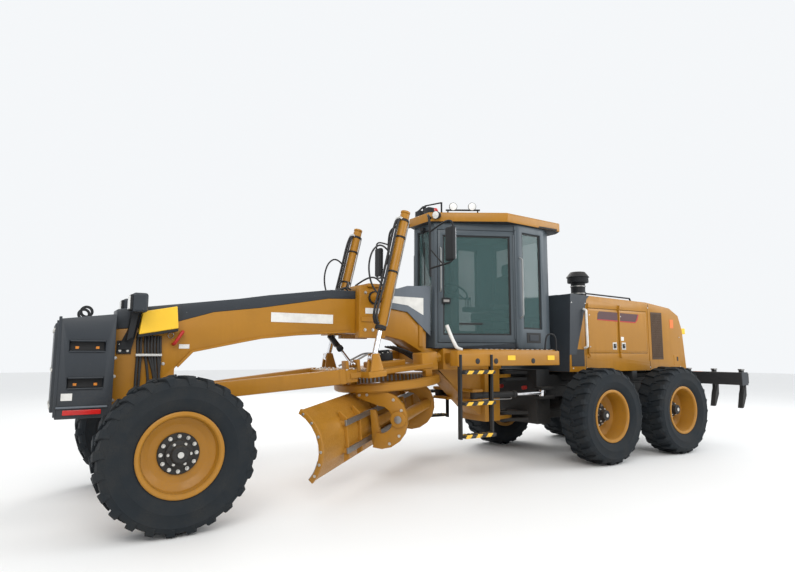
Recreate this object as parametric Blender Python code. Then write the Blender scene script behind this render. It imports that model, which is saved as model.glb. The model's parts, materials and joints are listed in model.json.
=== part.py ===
"""Motor grader: articulated frame, tandem drive, leaning front wheels, circle-mounted blade and rear ripper.

Stations are metres: X forward from the tandem centre, Y to the left, Z up from the ground. Everything hangs from
one empty that puts the middle of the length at the world's origin.
"""

import math

import bmesh
import bpy
from mathutils import Matrix, Vector

# Overall
FRONT_END = 7.50
REAR_END = -3.30
WHEELBASE = 6.55
TANDEM_SPACING = 1.70
REAR_TRACK_Y = 1.07
FRONT_TRACK_Y = 1.137
FIT = 0.0005
ROUND = 16

# Wheels
WHEEL_SIDES = 20
TYRE_R = 0.6675
TYRE_HALF = 0.228
BEAD_HALF = 0.172
RIM_R = 0.325
RIM_WALL = 0.015
FLANGE_R = 0.36
AXLE_Z = TYRE_R * math.cos(math.pi / WHEEL_SIDES)
REAR_DISC_Y = -0.09
FRONT_DISC_Y = 0.06
DISC_THICK = 0.03
HUB_R = 0.16

# Rear frame and tandem
RAIL_Y = (0.30, 0.42)
RAIL_Z = (0.88, 1.20)
RAIL_REAR = -2.15
HOOD_FLOOR_Z = 1.25
TANDEM_Y = (0.585, 0.79)
TANDEM_R = 0.24
AXLE_TUBE_R = 0.17

# Articulation
HINGE_X = 1.72
FORK_FRONT_X = 1.45
FORK_R = 0.14
LUG_R = 0.12
PIN_R = 0.05
LUG_HALF = 0.025
FORK_PLATE = 0.045
LOWER_HINGE_Z = 0.60
UPPER_HINGE_Z = 1.19
ARTIC_Z = 0.95
ARTIC_REAR = (1.42, 0.50)
ARTIC_FRONT = (2.62, 0.40)

# Engine hood
HOOD_HALF = 0.72
HOOD_WALL = 0.03
DOOR_X = ((0.66, -0.06), (-0.08, -0.80))
DOOR_Z = (1.53, 2.20)
DOOR_GAP = 0.006
HINGE_OUT = 0.008

# Gooseneck
FRAME_HALF = 0.17
COVER_HALF = 0.172
CAB_BASE_Z = 1.58
MOUNT_HALF = 0.30

# Cab
CAB_PLAN = [(3.15, 0.24), (2.08, 0.75), (1.55, 0.72), (1.34, 0.60)]
CAB_TOP_Z = 3.30
CAB_WALL = 0.05
CAB_FLOOR = 0.05
ROOF_PLAN = [(3.24, 0.24), (2.32, 0.80), (1.22, 0.74), (1.14, 0.60)]
ROOF_TOP_Z = 3.43
LAMP_TOP_Z = 3.58

LADDER_X = {"left": (2.84, 3.33), "right": (2.00, 2.44)}

# Drawbar, circle and blade
BALL_X = 6.28
BALL_Z = 1.08
PITCH = math.radians(5.5)
CIRCLE_BACK = 2.53
RING_R = 0.68
RING_IN_R = 0.54
RING_Z = (-0.23, -0.13)
BLADE_YAW = math.radians(-51.3)
ARM_Y = (0.56, 0.62)
TILT_PIVOT = (-0.006, -0.79)
BLADE_LENGTH = 3.60
BLADE_SHIFT = 0.01
BLADE_BOTTOM = (0.24, -0.942)
BLADE_TOP = (0.31, -0.262)
BLADE_SAG = 0.17
BLADE_THICK = 0.03
RAIL_BACK_X = 0.04
LIFT_Y = 0.62
LIFT_TRUNNION = (4.12, 2.20)
LIFT_BALL = (4.30, 1.46)
LIFT_BARREL_R = 0.058
LIFT_ROD_R = 0.032
SHIFT_X = 4.42
SHIFT_TOP = (-0.40, 1.79)
SHIFT_FOOT = (0.30, 1.38)

# Front axle
LEAN_Y = 0.78
LEAN_Z = 0.60
KINGPIN_Y = 0.95
BRACKET_Z = (0.49, 0.83)

# Ripper
RIPPER_PIVOT = (-2.36, 0.80)
RIPPER_EYE = (-2.80, 1.16)
RIPPER_MAST = (-2.45, 1.70)
SHANK_Y = (-0.98, -0.49, 0.0, 0.49, 0.98)

PAINT = {
    "yellow": ((0.60, 0.33, 0.05), 0.4, 0.0),
    "grey": ((0.05, 0.055, 0.06), 0.45, 0.0),
    "black": ((0.015, 0.015, 0.017), 0.6, 0.0),
    "rubber": ((0.03, 0.03, 0.032), 0.85, 0.0),
    "chrome": ((0.75, 0.75, 0.76), 0.15, 1.0),
    "seat": ((0.03, 0.03, 0.035), 0.8, 0.0),
}

for old in list(bpy.data.objects):
    bpy.data.objects.remove(old, do_unlink=True)

parts = bpy.data.collections.new("motor_grader")
bpy.context.scene.collection.children.link(parts)
origin = bpy.data.objects.new("grader_origin", None)
origin.location = (-(FRONT_END + REAR_END) / 2, 0, 0)
parts.objects.link(origin)


def paint(name):
    """The named finish, made once."""
    if name in bpy.data.materials:
        return bpy.data.materials[name]
    colour, rough, metal = PAINT[name]
    made = bpy.data.materials.new(name)
    made.use_nodes = True
    shader = made.node_tree.nodes["Principled BSDF"]
    shader.inputs["Base Color"].default_value = (*colour, 1)
    shader.inputs["Roughness"].default_value = rough
    shader.inputs["Metallic"].default_value = metal
    made.diffuse_color = (*colour, 1)
    return made


def from_bmesh(bm):
    mesh = bpy.data.meshes.new("shape")
    bmesh.ops.recalc_face_normals(bm, faces=bm.faces)
    bm.to_mesh(mesh)
    bm.free()
    return mesh


def box(x, y, z, bevel=0.0, turn=0.0, about=None):
    """A box between pairs of limits, its edges bevelled, turned about a vertical line."""
    bm = bmesh.new()
    bmesh.ops.create_cube(bm, size=1)
    size = Vector((abs(x[1] - x[0]), abs(y[1] - y[0]), abs(z[1] - z[0])))
    middle = Vector(((x[0] + x[1]) / 2, (y[0] + y[1]) / 2, (z[0] + z[1]) / 2))
    bmesh.ops.scale(bm, vec=size, verts=bm.verts)
    if bevel:
        bmesh.ops.bevel(bm, geom=bm.edges[:], offset=bevel, segments=1, affect="EDGES")
    bmesh.ops.translate(bm, vec=middle, verts=bm.verts)
    if turn:
        centre = Vector((*(about or (middle.x, middle.y)), 0))
        bmesh.ops.rotate(bm, cent=centre, matrix=Matrix.Rotation(turn, 3, "Z"), verts=bm.verts)
    return from_bmesh(bm)


def rod(start, end, radius, end_radius=None, sides=ROUND):
    """A round bar, or a cone, between two points."""
    start, end = Vector(start), Vector(end)
    along = end - start
    bm = bmesh.new()
    bmesh.ops.create_cone(bm, cap_ends=True, segments=sides, radius1=radius,
                          radius2=radius if end_radius is None else end_radius, depth=along.length)
    spin = Vector((0, 0, 1)).rotation_difference(along).to_matrix()
    bmesh.ops.rotate(bm, cent=(0, 0, 0), matrix=spin, verts=bm.verts)
    bmesh.ops.translate(bm, vec=(start + end) / 2, verts=bm.verts)
    return from_bmesh(bm)


def mesh_of(curve_data):
    """A curve's evaluated mesh with its caps welded on."""
    holder = bpy.data.objects.new("outline", curve_data)
    bpy.context.scene.collection.objects.link(holder)
    graph = bpy.context.evaluated_depsgraph_get()
    mesh = bpy.data.meshes.new_from_object(holder.evaluated_get(graph))
    bpy.data.objects.remove(holder, do_unlink=True)
    bm = bmesh.new()
    bm.from_mesh(mesh)
    bmesh.ops.remove_doubles(bm, verts=bm.verts, dist=0.0001)
    return from_bmesh(bm)


def plate(outline, low, high, across="Y"):
    """A flat outline given thickness from low to high: (x, z) points across Y, (x, y) points up Z."""
    curve = bpy.data.curves.new("outline", "CURVE")
    curve.dimensions = "2D"
    curve.fill_mode = "BOTH"
    curve.extrude = (high - low) / 2
    line = curve.splines.new("POLY")
    line.points.add(len(outline) - 1)
    for point, (across_x, up) in zip(line.points, outline):
        point.co = (across_x, up, 0, 1)
    line.use_cyclic_u = True
    mesh = mesh_of(curve)
    if across == "Y":
        mesh.transform(Matrix.Rotation(math.pi / 2, 4, "X"))
        mesh.transform(Matrix.Translation((0, (low + high) / 2, 0)))
    else:
        mesh.transform(Matrix.Translation((0, 0, (low + high) / 2)))
    return mesh


def tube(points, radius):
    """A bent round bar through the points."""
    curve = bpy.data.curves.new("tube", "CURVE")
    curve.dimensions = "3D"
    curve.bevel_depth = radius
    curve.bevel_resolution = 1
    curve.use_fill_caps = True
    line = curve.splines.new("POLY")
    line.points.add(len(points) - 1)
    for point, place in zip(line.points, points):
        point.co = (*place, 1)
    return mesh_of(curve)


def turned(profile, centre, sides=WHEEL_SIDES):
    """A ring from a closed profile of (radius, y), turned about a line along Y, with a flat facet at the bottom."""
    bm = bmesh.new()
    ring = [bm.verts.new((radius, y, 0)) for radius, y in profile]
    for here, after in zip(ring, ring[1:] + ring[:1]):
        bm.edges.new((here, after))
    bmesh.ops.spin(bm, geom=bm.verts[:] + bm.edges[:], cent=(0, 0, 0), axis=(0, 1, 0),
                   angle=2 * math.pi, steps=sides, use_merge=True)
    bmesh.ops.remove_doubles(bm, verts=bm.verts, dist=0.0001)
    half_side = Matrix.Rotation(math.pi / 2 + math.pi / sides, 3, "Y")
    bmesh.ops.rotate(bm, cent=(0, 0, 0), matrix=half_side, verts=bm.verts)
    bmesh.ops.translate(bm, vec=centre, verts=bm.verts)
    return from_bmesh(bm)


def disc(outline_radius, centre, low, high, across="Y", sides=ROUND):
    """A round plate between two levels across Y or Z."""
    first = list(centre)
    last = list(centre)
    index = 1 if across == "Y" else 2
    first.insert(index, low)
    last.insert(index, high)
    return rod(first, last, outline_radius, sides=sides)


def mirrored(mesh):
    """The same shape on the other side of the machine."""
    twin = mesh.copy()
    twin.transform(Matrix.Scale(-1, 4, (0, 1, 0)))
    twin.flip_normals()
    return twin


def both(mesh):
    return [mesh, mirrored(mesh)]


def make(name, finish, pieces, cuts=(), pivot=(0, 0, 0), parent=None, flip=False):
    """One named object: the pieces joined, the cuts taken out, its origin at the pivot."""
    meshes = list(pieces)
    result = bpy.data.objects.new(name, meshes[0])
    bpy.context.scene.collection.objects.link(result)
    tools = []
    for kind, group in (("UNION", meshes[1:]), ("DIFFERENCE", cuts)):
        for mesh in group:
            tool = bpy.data.objects.new("tool", mesh)
            bpy.context.scene.collection.objects.link(tool)
            step = result.modifiers.new(kind, "BOOLEAN")
            step.operation = kind
            step.solver = "EXACT"
            step.object = tool
            tools.append(tool)
    graph = bpy.context.evaluated_depsgraph_get()
    solid = bpy.data.meshes.new_from_object(result.evaluated_get(graph))
    for helper in [result, *tools]:
        bpy.data.objects.remove(helper, do_unlink=True)
    if flip:
        solid = mirrored(solid)
        pivot = (pivot[0], -pivot[1], pivot[2])
    solid.transform(Matrix.Translation(-Vector(pivot)))
    solid.name = name
    solid.materials.clear()
    solid.materials.append(paint(finish))
    done = bpy.data.objects.new(name, solid)
    done.location = pivot
    done.parent = parent or origin
    parts.objects.link(done)
    return done


def pair(name, finish, pieces, cuts=(), pivot=(0, 0, 0)):
    """The left piece and its mirror image on the right."""
    pieces = list(pieces)
    cuts = list(cuts)
    copies = [mesh.copy() for mesh in pieces]
    cut_copies = [mesh.copy() for mesh in cuts]
    make(name + "_left", finish, pieces, cuts, pivot)
    make(name + "_right", finish, copies, cut_copies, pivot, flip=True)


def hinge_plate(tip_x, tip_r, root_x, root_half, low, high):
    """A plate with a round end about the hinge line, widening to its root."""
    side = 1 if root_x > tip_x else -1
    arc = [(tip_x - side * tip_r * math.cos(a), tip_r * math.sin(a))
           for a in [math.radians(d) for d in range(-80, 81, 20)]]
    return plate([*arc, (root_x, root_half), (root_x, -root_half)], low, high, "Z")


def bore(radius, sides=ROUND):
    """The radius of a faceted hole that a pin of this radius turns in."""
    return (radius + FIT) / math.cos(math.pi / sides)


def wheel_profile(disc_y):
    inner = RIM_R - RIM_WALL
    lip = BEAD_HALF + 0.001
    end = lip + RIM_WALL
    back = disc_y - DISC_THICK
    return [(0, disc_y), (inner, disc_y), (inner, end), (FLANGE_R, end), (FLANGE_R, lip), (RIM_R, lip),
            (RIM_R, -lip), (FLANGE_R, -lip), (FLANGE_R, -end), (inner, -end), (inner, back), (0, back)]


def tyre_profile():
    half = [(RIM_R + FIT, BEAD_HALF), (0.366, BEAD_HALF), (0.50, TYRE_HALF), (0.62, TYRE_HALF - 0.016),
            (TYRE_R, TYRE_HALF - 0.063)]
    return half + [(radius, -y) for radius, y in reversed(half)]


def wheels():
    stations = (("front", WHEELBASE, FRONT_TRACK_Y, FRONT_DISC_Y), ("middle", TANDEM_SPACING / 2, REAR_TRACK_Y,
                REAR_DISC_Y), ("rear", -TANDEM_SPACING / 2, REAR_TRACK_Y, REAR_DISC_Y))
    for name, x, y, disc_y in stations:
        centre = (x, y, AXLE_Z)
        pair("tyre_" + name, "rubber", [turned(tyre_profile(), centre)], pivot=centre)
        pair("rim_" + name, "yellow", [turned(wheel_profile(disc_y), centre)], pivot=centre)


def rear_frame():
    pieces = [box((1.18, FORK_FRONT_X), (-RAIL_Y[1], RAIL_Y[1]), (0.50, 1.28))]
    pieces += both(box((RAIL_REAR, 1.2), RAIL_Y, RAIL_Z))
    pieces += [box((RAIL_REAR, RAIL_REAR + 0.2), (-0.50, 0.50), (0.62, RAIL_Z[1] - 0.01)),
               box((-0.25, 0.25), (-0.35, 0.35), (0.90, 0.98)),
               rod((0, -TANDEM_Y[0] + FIT, 0.72), (0, TANDEM_Y[0] - FIT, 0.72), AXLE_TUBE_R),
               rod((0, -0.22, 0.72), (0, 0.22, 0.72), 0.26)]
    pieces += both(box((-0.2, 0.2), (RAIL_Y[0] + 0.01, RAIL_Y[1] - 0.01), (0.74, 0.92)))
    for x in (0.80, -0.50, -1.72):
        pieces.append(box((x, x + 0.12), (-HOOD_HALF + 0.005, HOOD_HALF - 0.005), (1.12, HOOD_FLOOR_Z - FIT)))
    for centre in (LOWER_HINGE_Z, UPPER_HINGE_Z):
        for side in (-1, 1):
            near = centre + side * (LUG_HALF + FIT)
            low, high = sorted((near, near + side * FORK_PLATE))
            pieces.append(hinge_plate(HINGE_X, FORK_R, FORK_FRONT_X - 0.03, 0.25, low, high))
        reach = LUG_HALF + FORK_PLATE + 0.02
        pieces.append(disc(PIN_R, (HINGE_X, 0), centre - reach, centre + reach, "Z"))
    for low in (ARTIC_Z - 0.085, ARTIC_Z + 0.045):
        pieces += both(box((1.22, ARTIC_REAR[0] + 0.05), (0.38, ARTIC_REAR[1] + 0.05), (low, low + 0.04)))
    for y in (0.15, 0.25):
        ears = plate([(RAIL_REAR + 0.05, 0.70), (RAIL_REAR + 0.05, 1.10), (RIPPER_PIVOT[0] - 0.06, 0.94),
                      (RIPPER_PIVOT[0] - 0.06, 0.80)], y, y + 0.04)
        pieces += both(ears)
    mast = [(RAIL_REAR + 0.05, 1.0), (RAIL_REAR + 0.05, 1.24), (RIPPER_MAST[0] + 0.06, RIPPER_MAST[1] + 0.05),
            (RIPPER_MAST[0] - 0.06, RIPPER_MAST[1] + 0.05), (-2.2, 1.0)]
    pieces += both(plate(mast, 0.055, 0.095))
    pieces.append(box((RAIL_REAR - 0.01, RAIL_REAR + 0.06), (-0.30, 0.30), (1.0, 1.24)))
    make("rear_frame", "black", pieces)


def tandems():
    half = TANDEM_SPACING / 2
    ends = [(half * side, AXLE_Z) for side in (1, -1)]
    arc = [(x + TANDEM_R * math.cos(a), z + TANDEM_R * math.sin(a)) for (x, z), start in zip(ends, (-90, 90))
           for a in [math.radians(start + step) for step in range(0, 181, 30)]]
    pieces = [plate(arc, *TANDEM_Y)]
    hub_end = REAR_TRACK_Y + REAR_DISC_Y - DISC_THICK - FIT
    pieces += [disc(HUB_R, (x, z), TANDEM_Y[1] - 0.05, hub_end) for x, z in ends]
    pair("tandem_case", "black", pieces)


def engine():
    make("engine_block", "grey", [box((-1.35, 0.20), (-RAIL_Y[0] + FIT, RAIL_Y[0] - FIT), (0.98 + FIT, 1.95))],
         [box((-0.50 - 0.01, -0.38 + 0.01), (-1, 1), (0.9, HOOD_FLOOR_Z + 0.005))])


def hood():
    outline = [(1.08, HOOD_FLOOR_Z), (1.02, 2.40), (-0.80, 2.36), (-1.45, 2.29), (-1.70, 2.17), (-1.80, 1.93),
               (-1.88, HOOD_FLOOR_Z)]
    inner = [(1.04, HOOD_FLOOR_Z - 0.1), (0.985, 2.365), (-0.80, 2.325), (-1.44, 2.255), (-1.675, 2.14),
             (-1.765, 1.92), (-1.84, HOOD_FLOOR_Z - 0.1)]
    pieces = [plate(outline, -HOOD_HALF, HOOD_HALF)]
    cuts = [plate(inner, -HOOD_HALF + HOOD_WALL, HOOD_HALF - HOOD_WALL)]
    for front, back in DOOR_X:
        gap = (back - DOOR_GAP, front + DOOR_GAP)
        tall = (DOOR_Z[0] - DOOR_GAP, DOOR_Z[1] + DOOR_GAP)
        cuts += both(box(gap, (HOOD_HALF - 0.1, HOOD_HALF + 0.1), tall))
    trims = []
    for front, back in DOOR_X:
        hinge = front - 0.01
        for z in (DOOR_Z[0] - 0.04, DOOR_Z[1] + 0.04):
            trims += both(box((hinge - 0.016, hinge + 0.016), (HOOD_HALF - 0.02, HOOD_HALF + 0.03),
                              (z - 0.035, z + 0.035)))
    rail_z = 2.44
    trims += both(tube([(0.55, 0.60, 2.36), (0.52, 0.60, rail_z), (-0.55, 0.60, rail_z - 0.02),
                        (-0.60, 0.60, 2.34)], 0.016))
    trims += [rod((0.12, 0.12, 2.36), (0.12, 0.12, 2.70), 0.115), rod((0.12, 0.12, 2.68), (0.12, 0.12, 2.78), 0.17),
              rod((0.12, 0.12, 2.77), (0.12, 0.12, 2.86), 0.19, 0.12)]
    shell = make("engine_hood", "yellow", pieces, cuts)
    shell_mesh = shell.data.copy()
    bpy.data.objects.remove(shell, do_unlink=True)
    make("engine_hood", "yellow", [shell_mesh, *trims])
    for label, (front, back) in zip(("front", "rear"), DOOR_X):
        hinge = front - 0.01
        low = DOOR_Z[0] - 0.005 + FIT
        pieces = [box((back, front), (HOOD_HALF - HOOD_WALL, HOOD_HALF), DOOR_Z),
                  rod((hinge, HOOD_HALF + HINGE_OUT, low), (hinge, HOOD_HALF + HINGE_OUT, DOOR_Z[1] + 0.005 - FIT), 0.013, sides=8)]
        pair(f"engine_door_{label}", "yellow", pieces, pivot=(hinge, HOOD_HALF + HINGE_OUT, 0))


def gooseneck():
    top = [(7.0, 1.74), (6.58, 1.78), (6.04, 1.95), (5.52, 2.02), (4.68, 2.17), (4.20, 2.19), (3.55, 2.12),
           (3.24, 1.90)]
    outline = [(7.0, 0.82), *top, (3.24, CAB_BASE_Z - FIT), (2.02, CAB_BASE_Z - FIT), (2.02, 0.56), (2.20, 0.58),
               (2.46, 0.76), (3.31, 1.53), (3.6, 1.68), (3.9, 1.74), (4.40, 1.76), (5.04, 1.72), (5.50, 1.67),
               (5.75, 1.62), (6.27, 1.51), (6.42, 1.35), (6.42, 0.82)]
    pieces = [plate(outline, -FRAME_HALF, FRAME_HALF),
              box((2.02, 3.05), (-MOUNT_HALF, MOUNT_HALF), (1.30, CAB_BASE_Z - FIT)),
              box((2.02, 2.30), (-0.26, 0.26), (0.57, 1.4))]
    cuts = []
    for centre in (LOWER_HINGE_Z, UPPER_HINGE_Z):
        pieces.append(hinge_plate(HINGE_X, LUG_R, 2.06, 0.22, centre - LUG_HALF, centre + LUG_HALF))
        cuts.append(disc(bore(PIN_R), (HINGE_X, 0), centre - 0.1, centre + 0.1, "Z"))
    for low in (ARTIC_Z - 0.085, ARTIC_Z + 0.045):
        pieces += both(box((ARTIC_FRONT[0] - 0.12, ARTIC_FRONT[0] + 0.06), (0.10, ARTIC_FRONT[1] + 0.05),
                           (low, low + 0.04)))
    pieces += both(box((BALL_X - 0.07, 6.5), (0.0755, 0.115), (BALL_Z - 0.07, BALL_Z + 0.07)))
    make("front_frame", "yellow", pieces, cuts)
    lift = FIT
    cover_top = [(3.24, 1.98), (3.62, 2.22), (3.9, 2.29), (4.65, 2.28), (5.43, 2.17), (5.77, 2.11), (6.40, 2.02),
                 (6.98, 1.94)]
    cover = [(6.98, 1.742 + lift), *[(x, z + lift) for x, z in top[1:]], *cover_top]
    make("frame_cover", "grey", [plate(cover, -COVER_HALF, COVER_HALF)])


def counterweight():
    outline = [(7.0 + FIT, 0.91), (7.0 + FIT, 1.88), (7.46, 1.82), (7.46, 0.91)]
    pieces = [plate(outline, -0.38, 0.38), box((7.44, FRONT_END), (-0.33, 0.33), (0.97, 1.78))]
    cuts = [cut for z in (1.18, 1.52) for cut in both(box((7.08, 7.38), (0.32, 0.5), (z, z + 0.10)))]
    make("front_counterweight", "grey", pieces, cuts)


def front_axle():
    tip = LEAN_Y - 0.03
    beam = [(-tip, LEAN_Z + 0.075), (-0.25, 0.78), (0.25, 0.78), (tip, LEAN_Z + 0.075),
            (tip, LEAN_Z - 0.075), (0.25, 0.52), (-0.25, 0.52), (-tip, LEAN_Z - 0.075)]
    mesh = plate(beam, -0.075, 0.075)
    mesh.transform(Matrix.Rotation(math.pi / 2, 4, "Z"))
    mesh.transform(Matrix.Translation((WHEELBASE, 0, 0)))
    pieces = [mesh]
    for side in (-1, 1):
        y = side * LEAN_Y
        pieces.append(rod((WHEELBASE - 0.08, y, LEAN_Z), (WHEELBASE + 0.08, y, LEAN_Z), 0.09))
    pieces.append(box((WHEELBASE - 0.11, WHEELBASE + 0.11), (-0.12, 0.12), (0.70, 0.82 - FIT)))
    make("front_axle", "yellow", pieces)
    inner = 0.08 + FIT
    bracket = []
    for side in (-1, 1):
        near, far = WHEELBASE + side * inner, WHEELBASE + side * (inner + 0.04)
        bracket.append(rod((near, LEAN_Y, LEAN_Z), (far, LEAN_Y, LEAN_Z), 0.08))
        bracket.append(box((near, far), (LEAN_Y - 0.04, KINGPIN_Y - 0.05), (LEAN_Z, BRACKET_Z[1])))
        bracket.append(box((near, far), (LEAN_Y + 0.02, KINGPIN_Y - 0.05), (BRACKET_Z[0], BRACKET_Z[1])))
    bracket.append(box((WHEELBASE - 0.115, WHEELBASE + 0.115), (LEAN_Y + 0.10, KINGPIN_Y - 0.01), BRACKET_Z))
    bracket.append(disc(0.07, (WHEELBASE, KINGPIN_Y), *BRACKET_Z, "Z"))
    pair("lean_bracket", "yellow", bracket, pivot=(WHEELBASE, LEAN_Y, LEAN_Z))
    hub_end = FRONT_TRACK_Y + FRONT_DISC_Y - DISC_THICK - FIT
    knuckle = [box((WHEELBASE - 0.065, WHEELBASE + 0.065), (KINGPIN_Y + 0.085, KINGPIN_Y + 0.14),
                   (BRACKET_Z[0] - 0.04, BRACKET_Z[1] + 0.04)),
               disc(0.12, (WHEELBASE, AXLE_Z), KINGPIN_Y + 0.10, hub_end)]
    for low in (BRACKET_Z[0] - FIT - 0.04, BRACKET_Z[1] + FIT):
        knuckle.append(disc(0.065, (WHEELBASE, KINGPIN_Y), low, low + 0.04, "Z"))
        knuckle.append(box((WHEELBASE - 0.055, WHEELBASE + 0.055), (KINGPIN_Y, KINGPIN_Y + 0.10), (low, low + 0.04)))
    low = BRACKET_Z[0] - FIT - 0.04
    knuckle.append(box((WHEELBASE - 0.20, WHEELBASE), (KINGPIN_Y - 0.10, KINGPIN_Y - 0.05), (low, low + 0.035),
                       turn=math.radians(8), about=(WHEELBASE, KINGPIN_Y)))
    knuckle.append(box((WHEELBASE - 0.05, WHEELBASE + 0.02), (KINGPIN_Y - 0.11, KINGPIN_Y), (low, low + 0.035)))
    pair("steering_knuckle", "yellow", knuckle, pivot=(WHEELBASE, KINGPIN_Y, AXLE_Z))
    tie_x = WHEELBASE - 0.265
    make("tie_rod", "black", [rod((tie_x, -0.83, 0.47), (tie_x, 0.83, 0.47), 0.018, sides=8)],
         pivot=(tie_x, 0, 0.47))
    bar_x = WHEELBASE + inner + 0.04 + FIT
    make("lean_bar", "yellow", [box((bar_x, bar_x + 0.03), (-LEAN_Y - 0.03, LEAN_Y + 0.03), (0.755, 0.805))],
         pivot=(bar_x, 0, 0.8))


def inset(points, step):
    """A convex outline moved in by a wall."""
    moved = []
    count = len(points)
    for index in range(count):
        here = Vector(points[index])
        before = (here - Vector(points[index - 1])).normalized()
        after = (Vector(points[(index + 1) % count]) - here).normalized()
        normal_a = Vector((-before.y, before.x))
        normal_b = Vector((-after.y, after.x))
        bisector = (normal_a + normal_b).normalized()
        moved.append(tuple(here + bisector * step / bisector.dot(normal_a)))
    return moved


def cab():
    plan = [*CAB_PLAN, *[(x, -y) for x, y in reversed(CAB_PLAN)]]
    roof_plan = [*ROOF_PLAN, *[(x, -y) for x, y in reversed(ROOF_PLAN)]]
    inner = inset(plan, CAB_WALL)
    body = [plate(plan, CAB_BASE_Z, CAB_TOP_Z, "Z")]
    cuts = [plate(inner, CAB_BASE_Z + CAB_FLOOR, CAB_TOP_Z + 0.1, "Z"),
            box((3.0, 3.3), (-0.17, 0.17), (1.80, CAB_TOP_Z - 0.08)),
            box((1.2, 1.45), (-0.50, 0.50), (2.05, CAB_TOP_Z - 0.10))]
    cuts += both(box((1.62, 2.0), (0.6, 0.9), (1.85, CAB_TOP_Z - 0.10)))
    front, rear = Vector(CAB_PLAN[0]), Vector(CAB_PLAN[1])
    along = (rear - front).normalized()
    length = (rear - front).length
    turn = math.atan2(along.y, along.x)
    out = Vector((along.y, -along.x))
    start, end = front + along * 0.05, front + along * (length - 0.05)
    middle = (start + end) / 2
    span = (end - start).length

    def in_wall(low, high, depth, z):
        """A box along the door wall: low and high run from its front post, depth is from its outer face."""
        centre = (start + along * (low + high) / 2)
        centre = centre + out * (depth[0] + depth[1]) / 2
        half = (high - low) / 2
        thick = abs(depth[1] - depth[0]) / 2
        return box((centre.x - half, centre.x + half), (centre.y - thick, centre.y + thick), z, turn=turn)

    door_z = (1.66, 3.20)
    cuts += both(in_wall(-DOOR_GAP, span + DOOR_GAP, (-0.15, 0.1), (door_z[0] - DOOR_GAP, door_z[1] + DOOR_GAP)))
    lugs = []
    for z in (door_z[0] - 0.04, door_z[1] + 0.04):
        lugs += both(in_wall(span - 0.016, span + 0.016, (-0.03, 0.033), (z - 0.028, z + 0.028)))
    shell = make("cab_body", "grey", body, cuts)
    shell_mesh = shell.data.copy()
    bpy.data.objects.remove(shell, do_unlink=True)
    make("cab_body", "grey", [shell_mesh, *lugs])
    hinge = end + out * 0.018
    door = [in_wall(0, span, (-CAB_WALL, 0), door_z),
            in_wall(span - 0.03, span, (-0.02, 0.018), (door_z[0] + 0.05, door_z[1] - 0.05)),
            rod((*hinge, door_z[0] - 0.012 + FIT), (*hinge, door_z[1] + 0.012 - FIT), 0.014, sides=8)]
    holes = [in_wall(0.07, span - 0.07, (-0.1, 0.1), (door_z[0] + 0.10, door_z[1] - 0.07))]
    pair("cab_door", "grey", door, holes, pivot=(*hinge, 0))
    roof = [plate(roof_plan, CAB_TOP_Z + FIT, ROOF_TOP_Z, "Z")]
    roof += both(tube([(3.14, 0.02, 3.42), (3.14, 0.02, LAMP_TOP_Z), (3.05, 0.28, LAMP_TOP_Z), (3.05, 0.28, 3.42)], 0.014))
    roof += both(box((3.09, 3.19), (0.05, 0.17), (3.42, 3.53)))
    make("cab_roof", "yellow", roof)
    floor = CAB_BASE_Z + CAB_FLOOR + FIT
    seat = [box((1.62, 2.75), (-0.24, 0.24), (floor, floor + 0.03)),
            box((1.66, 2.10), (-0.20, 0.20), (floor + 0.02, 2.02)),
            box((1.60, 2.16), (-0.25, 0.25), (2.0, 2.13), 0.02),
            box((1.50, 1.62), (-0.24, 0.24), (2.08, 2.78), 0.02),
            box((2.62, 2.74), (-0.09, 0.09), (floor + 0.02, 2.30)),
            rod((2.68, 0, 2.28), (2.58, 0, 2.40), 0.03, sides=8), rod((2.60, 0, 2.375), (2.585, 0, 2.395), 0.19, sides=16),
            box((1.70, 2.20), (0.26, 0.36), (2.14, 2.26), 0.02), box((1.70, 2.20), (-0.36, -0.26), (2.14, 2.26), 0.02),
            box((1.75, 1.95), (-0.33, 0.33), (2.06, 2.16))]
    make("operator_station", "seat", seat)
    for side, ladder in LADDER_X.items():
        platform = [box((1.60, 3.36), (0.85, 1.0), (1.36, 1.55))]
        platform += [box((x, x + 0.14), (MOUNT_HALF + FIT, 0.9), (1.38, 1.52)) for x in (2.05, 2.88)]
        platform += [box((1.60, 3.12), (0.80, 0.97), (1.53, 1.565))]
        platform += [box((x - 0.015, x + 0.015), (0.97, 1.03), (0.50, 1.50)) for x in ladder]
        platform += [box((*ladder,), (0.975, 1.09), (z, z + 0.035)) for z in (1.27, 0.90, 0.52)]
        make("cab_platform_" + side, "yellow", platform, flip=side == "right")


def cylinder(name, start, end, reach, barrel_r, rod_r, axis, half, mirror=False, behind=0.0, extra=()):
    """A barrel turning at start and a rod whose eye is at end. reach is from start to the gland."""
    start, end, axis = Vector(start), Vector(end), Vector(axis)
    along = (end - start).normalized()
    eye = barrel_r + 0.005
    mouth = start + along * reach
    tail = start - along * behind if behind else start + along * eye * 0.5
    barrel = [rod(tail, mouth, barrel_r, sides=12), *extra]
    if not behind:
        barrel.append(rod(start - axis * half, start + axis * half, eye, sides=12))
    hole_from = tail + along * (0.05 if behind else eye * 1.2)
    cuts = [rod(hole_from, mouth + along * 0.05, rod_r + FIT, sides=12)]
    inner_end = mouth - along * min(0.45 * reach, 0.4)
    rods = [rod(inner_end, end - along * eye * 0.3, rod_r, sides=12),
            rod(end - axis * half, end + axis * half, eye, sides=12)]
    maker = pair if mirror else make
    maker(name + "_barrel", "black", barrel, cuts, pivot=tuple(start))
    maker(name + "_rod", "chrome", rods, pivot=tuple(end))


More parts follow.
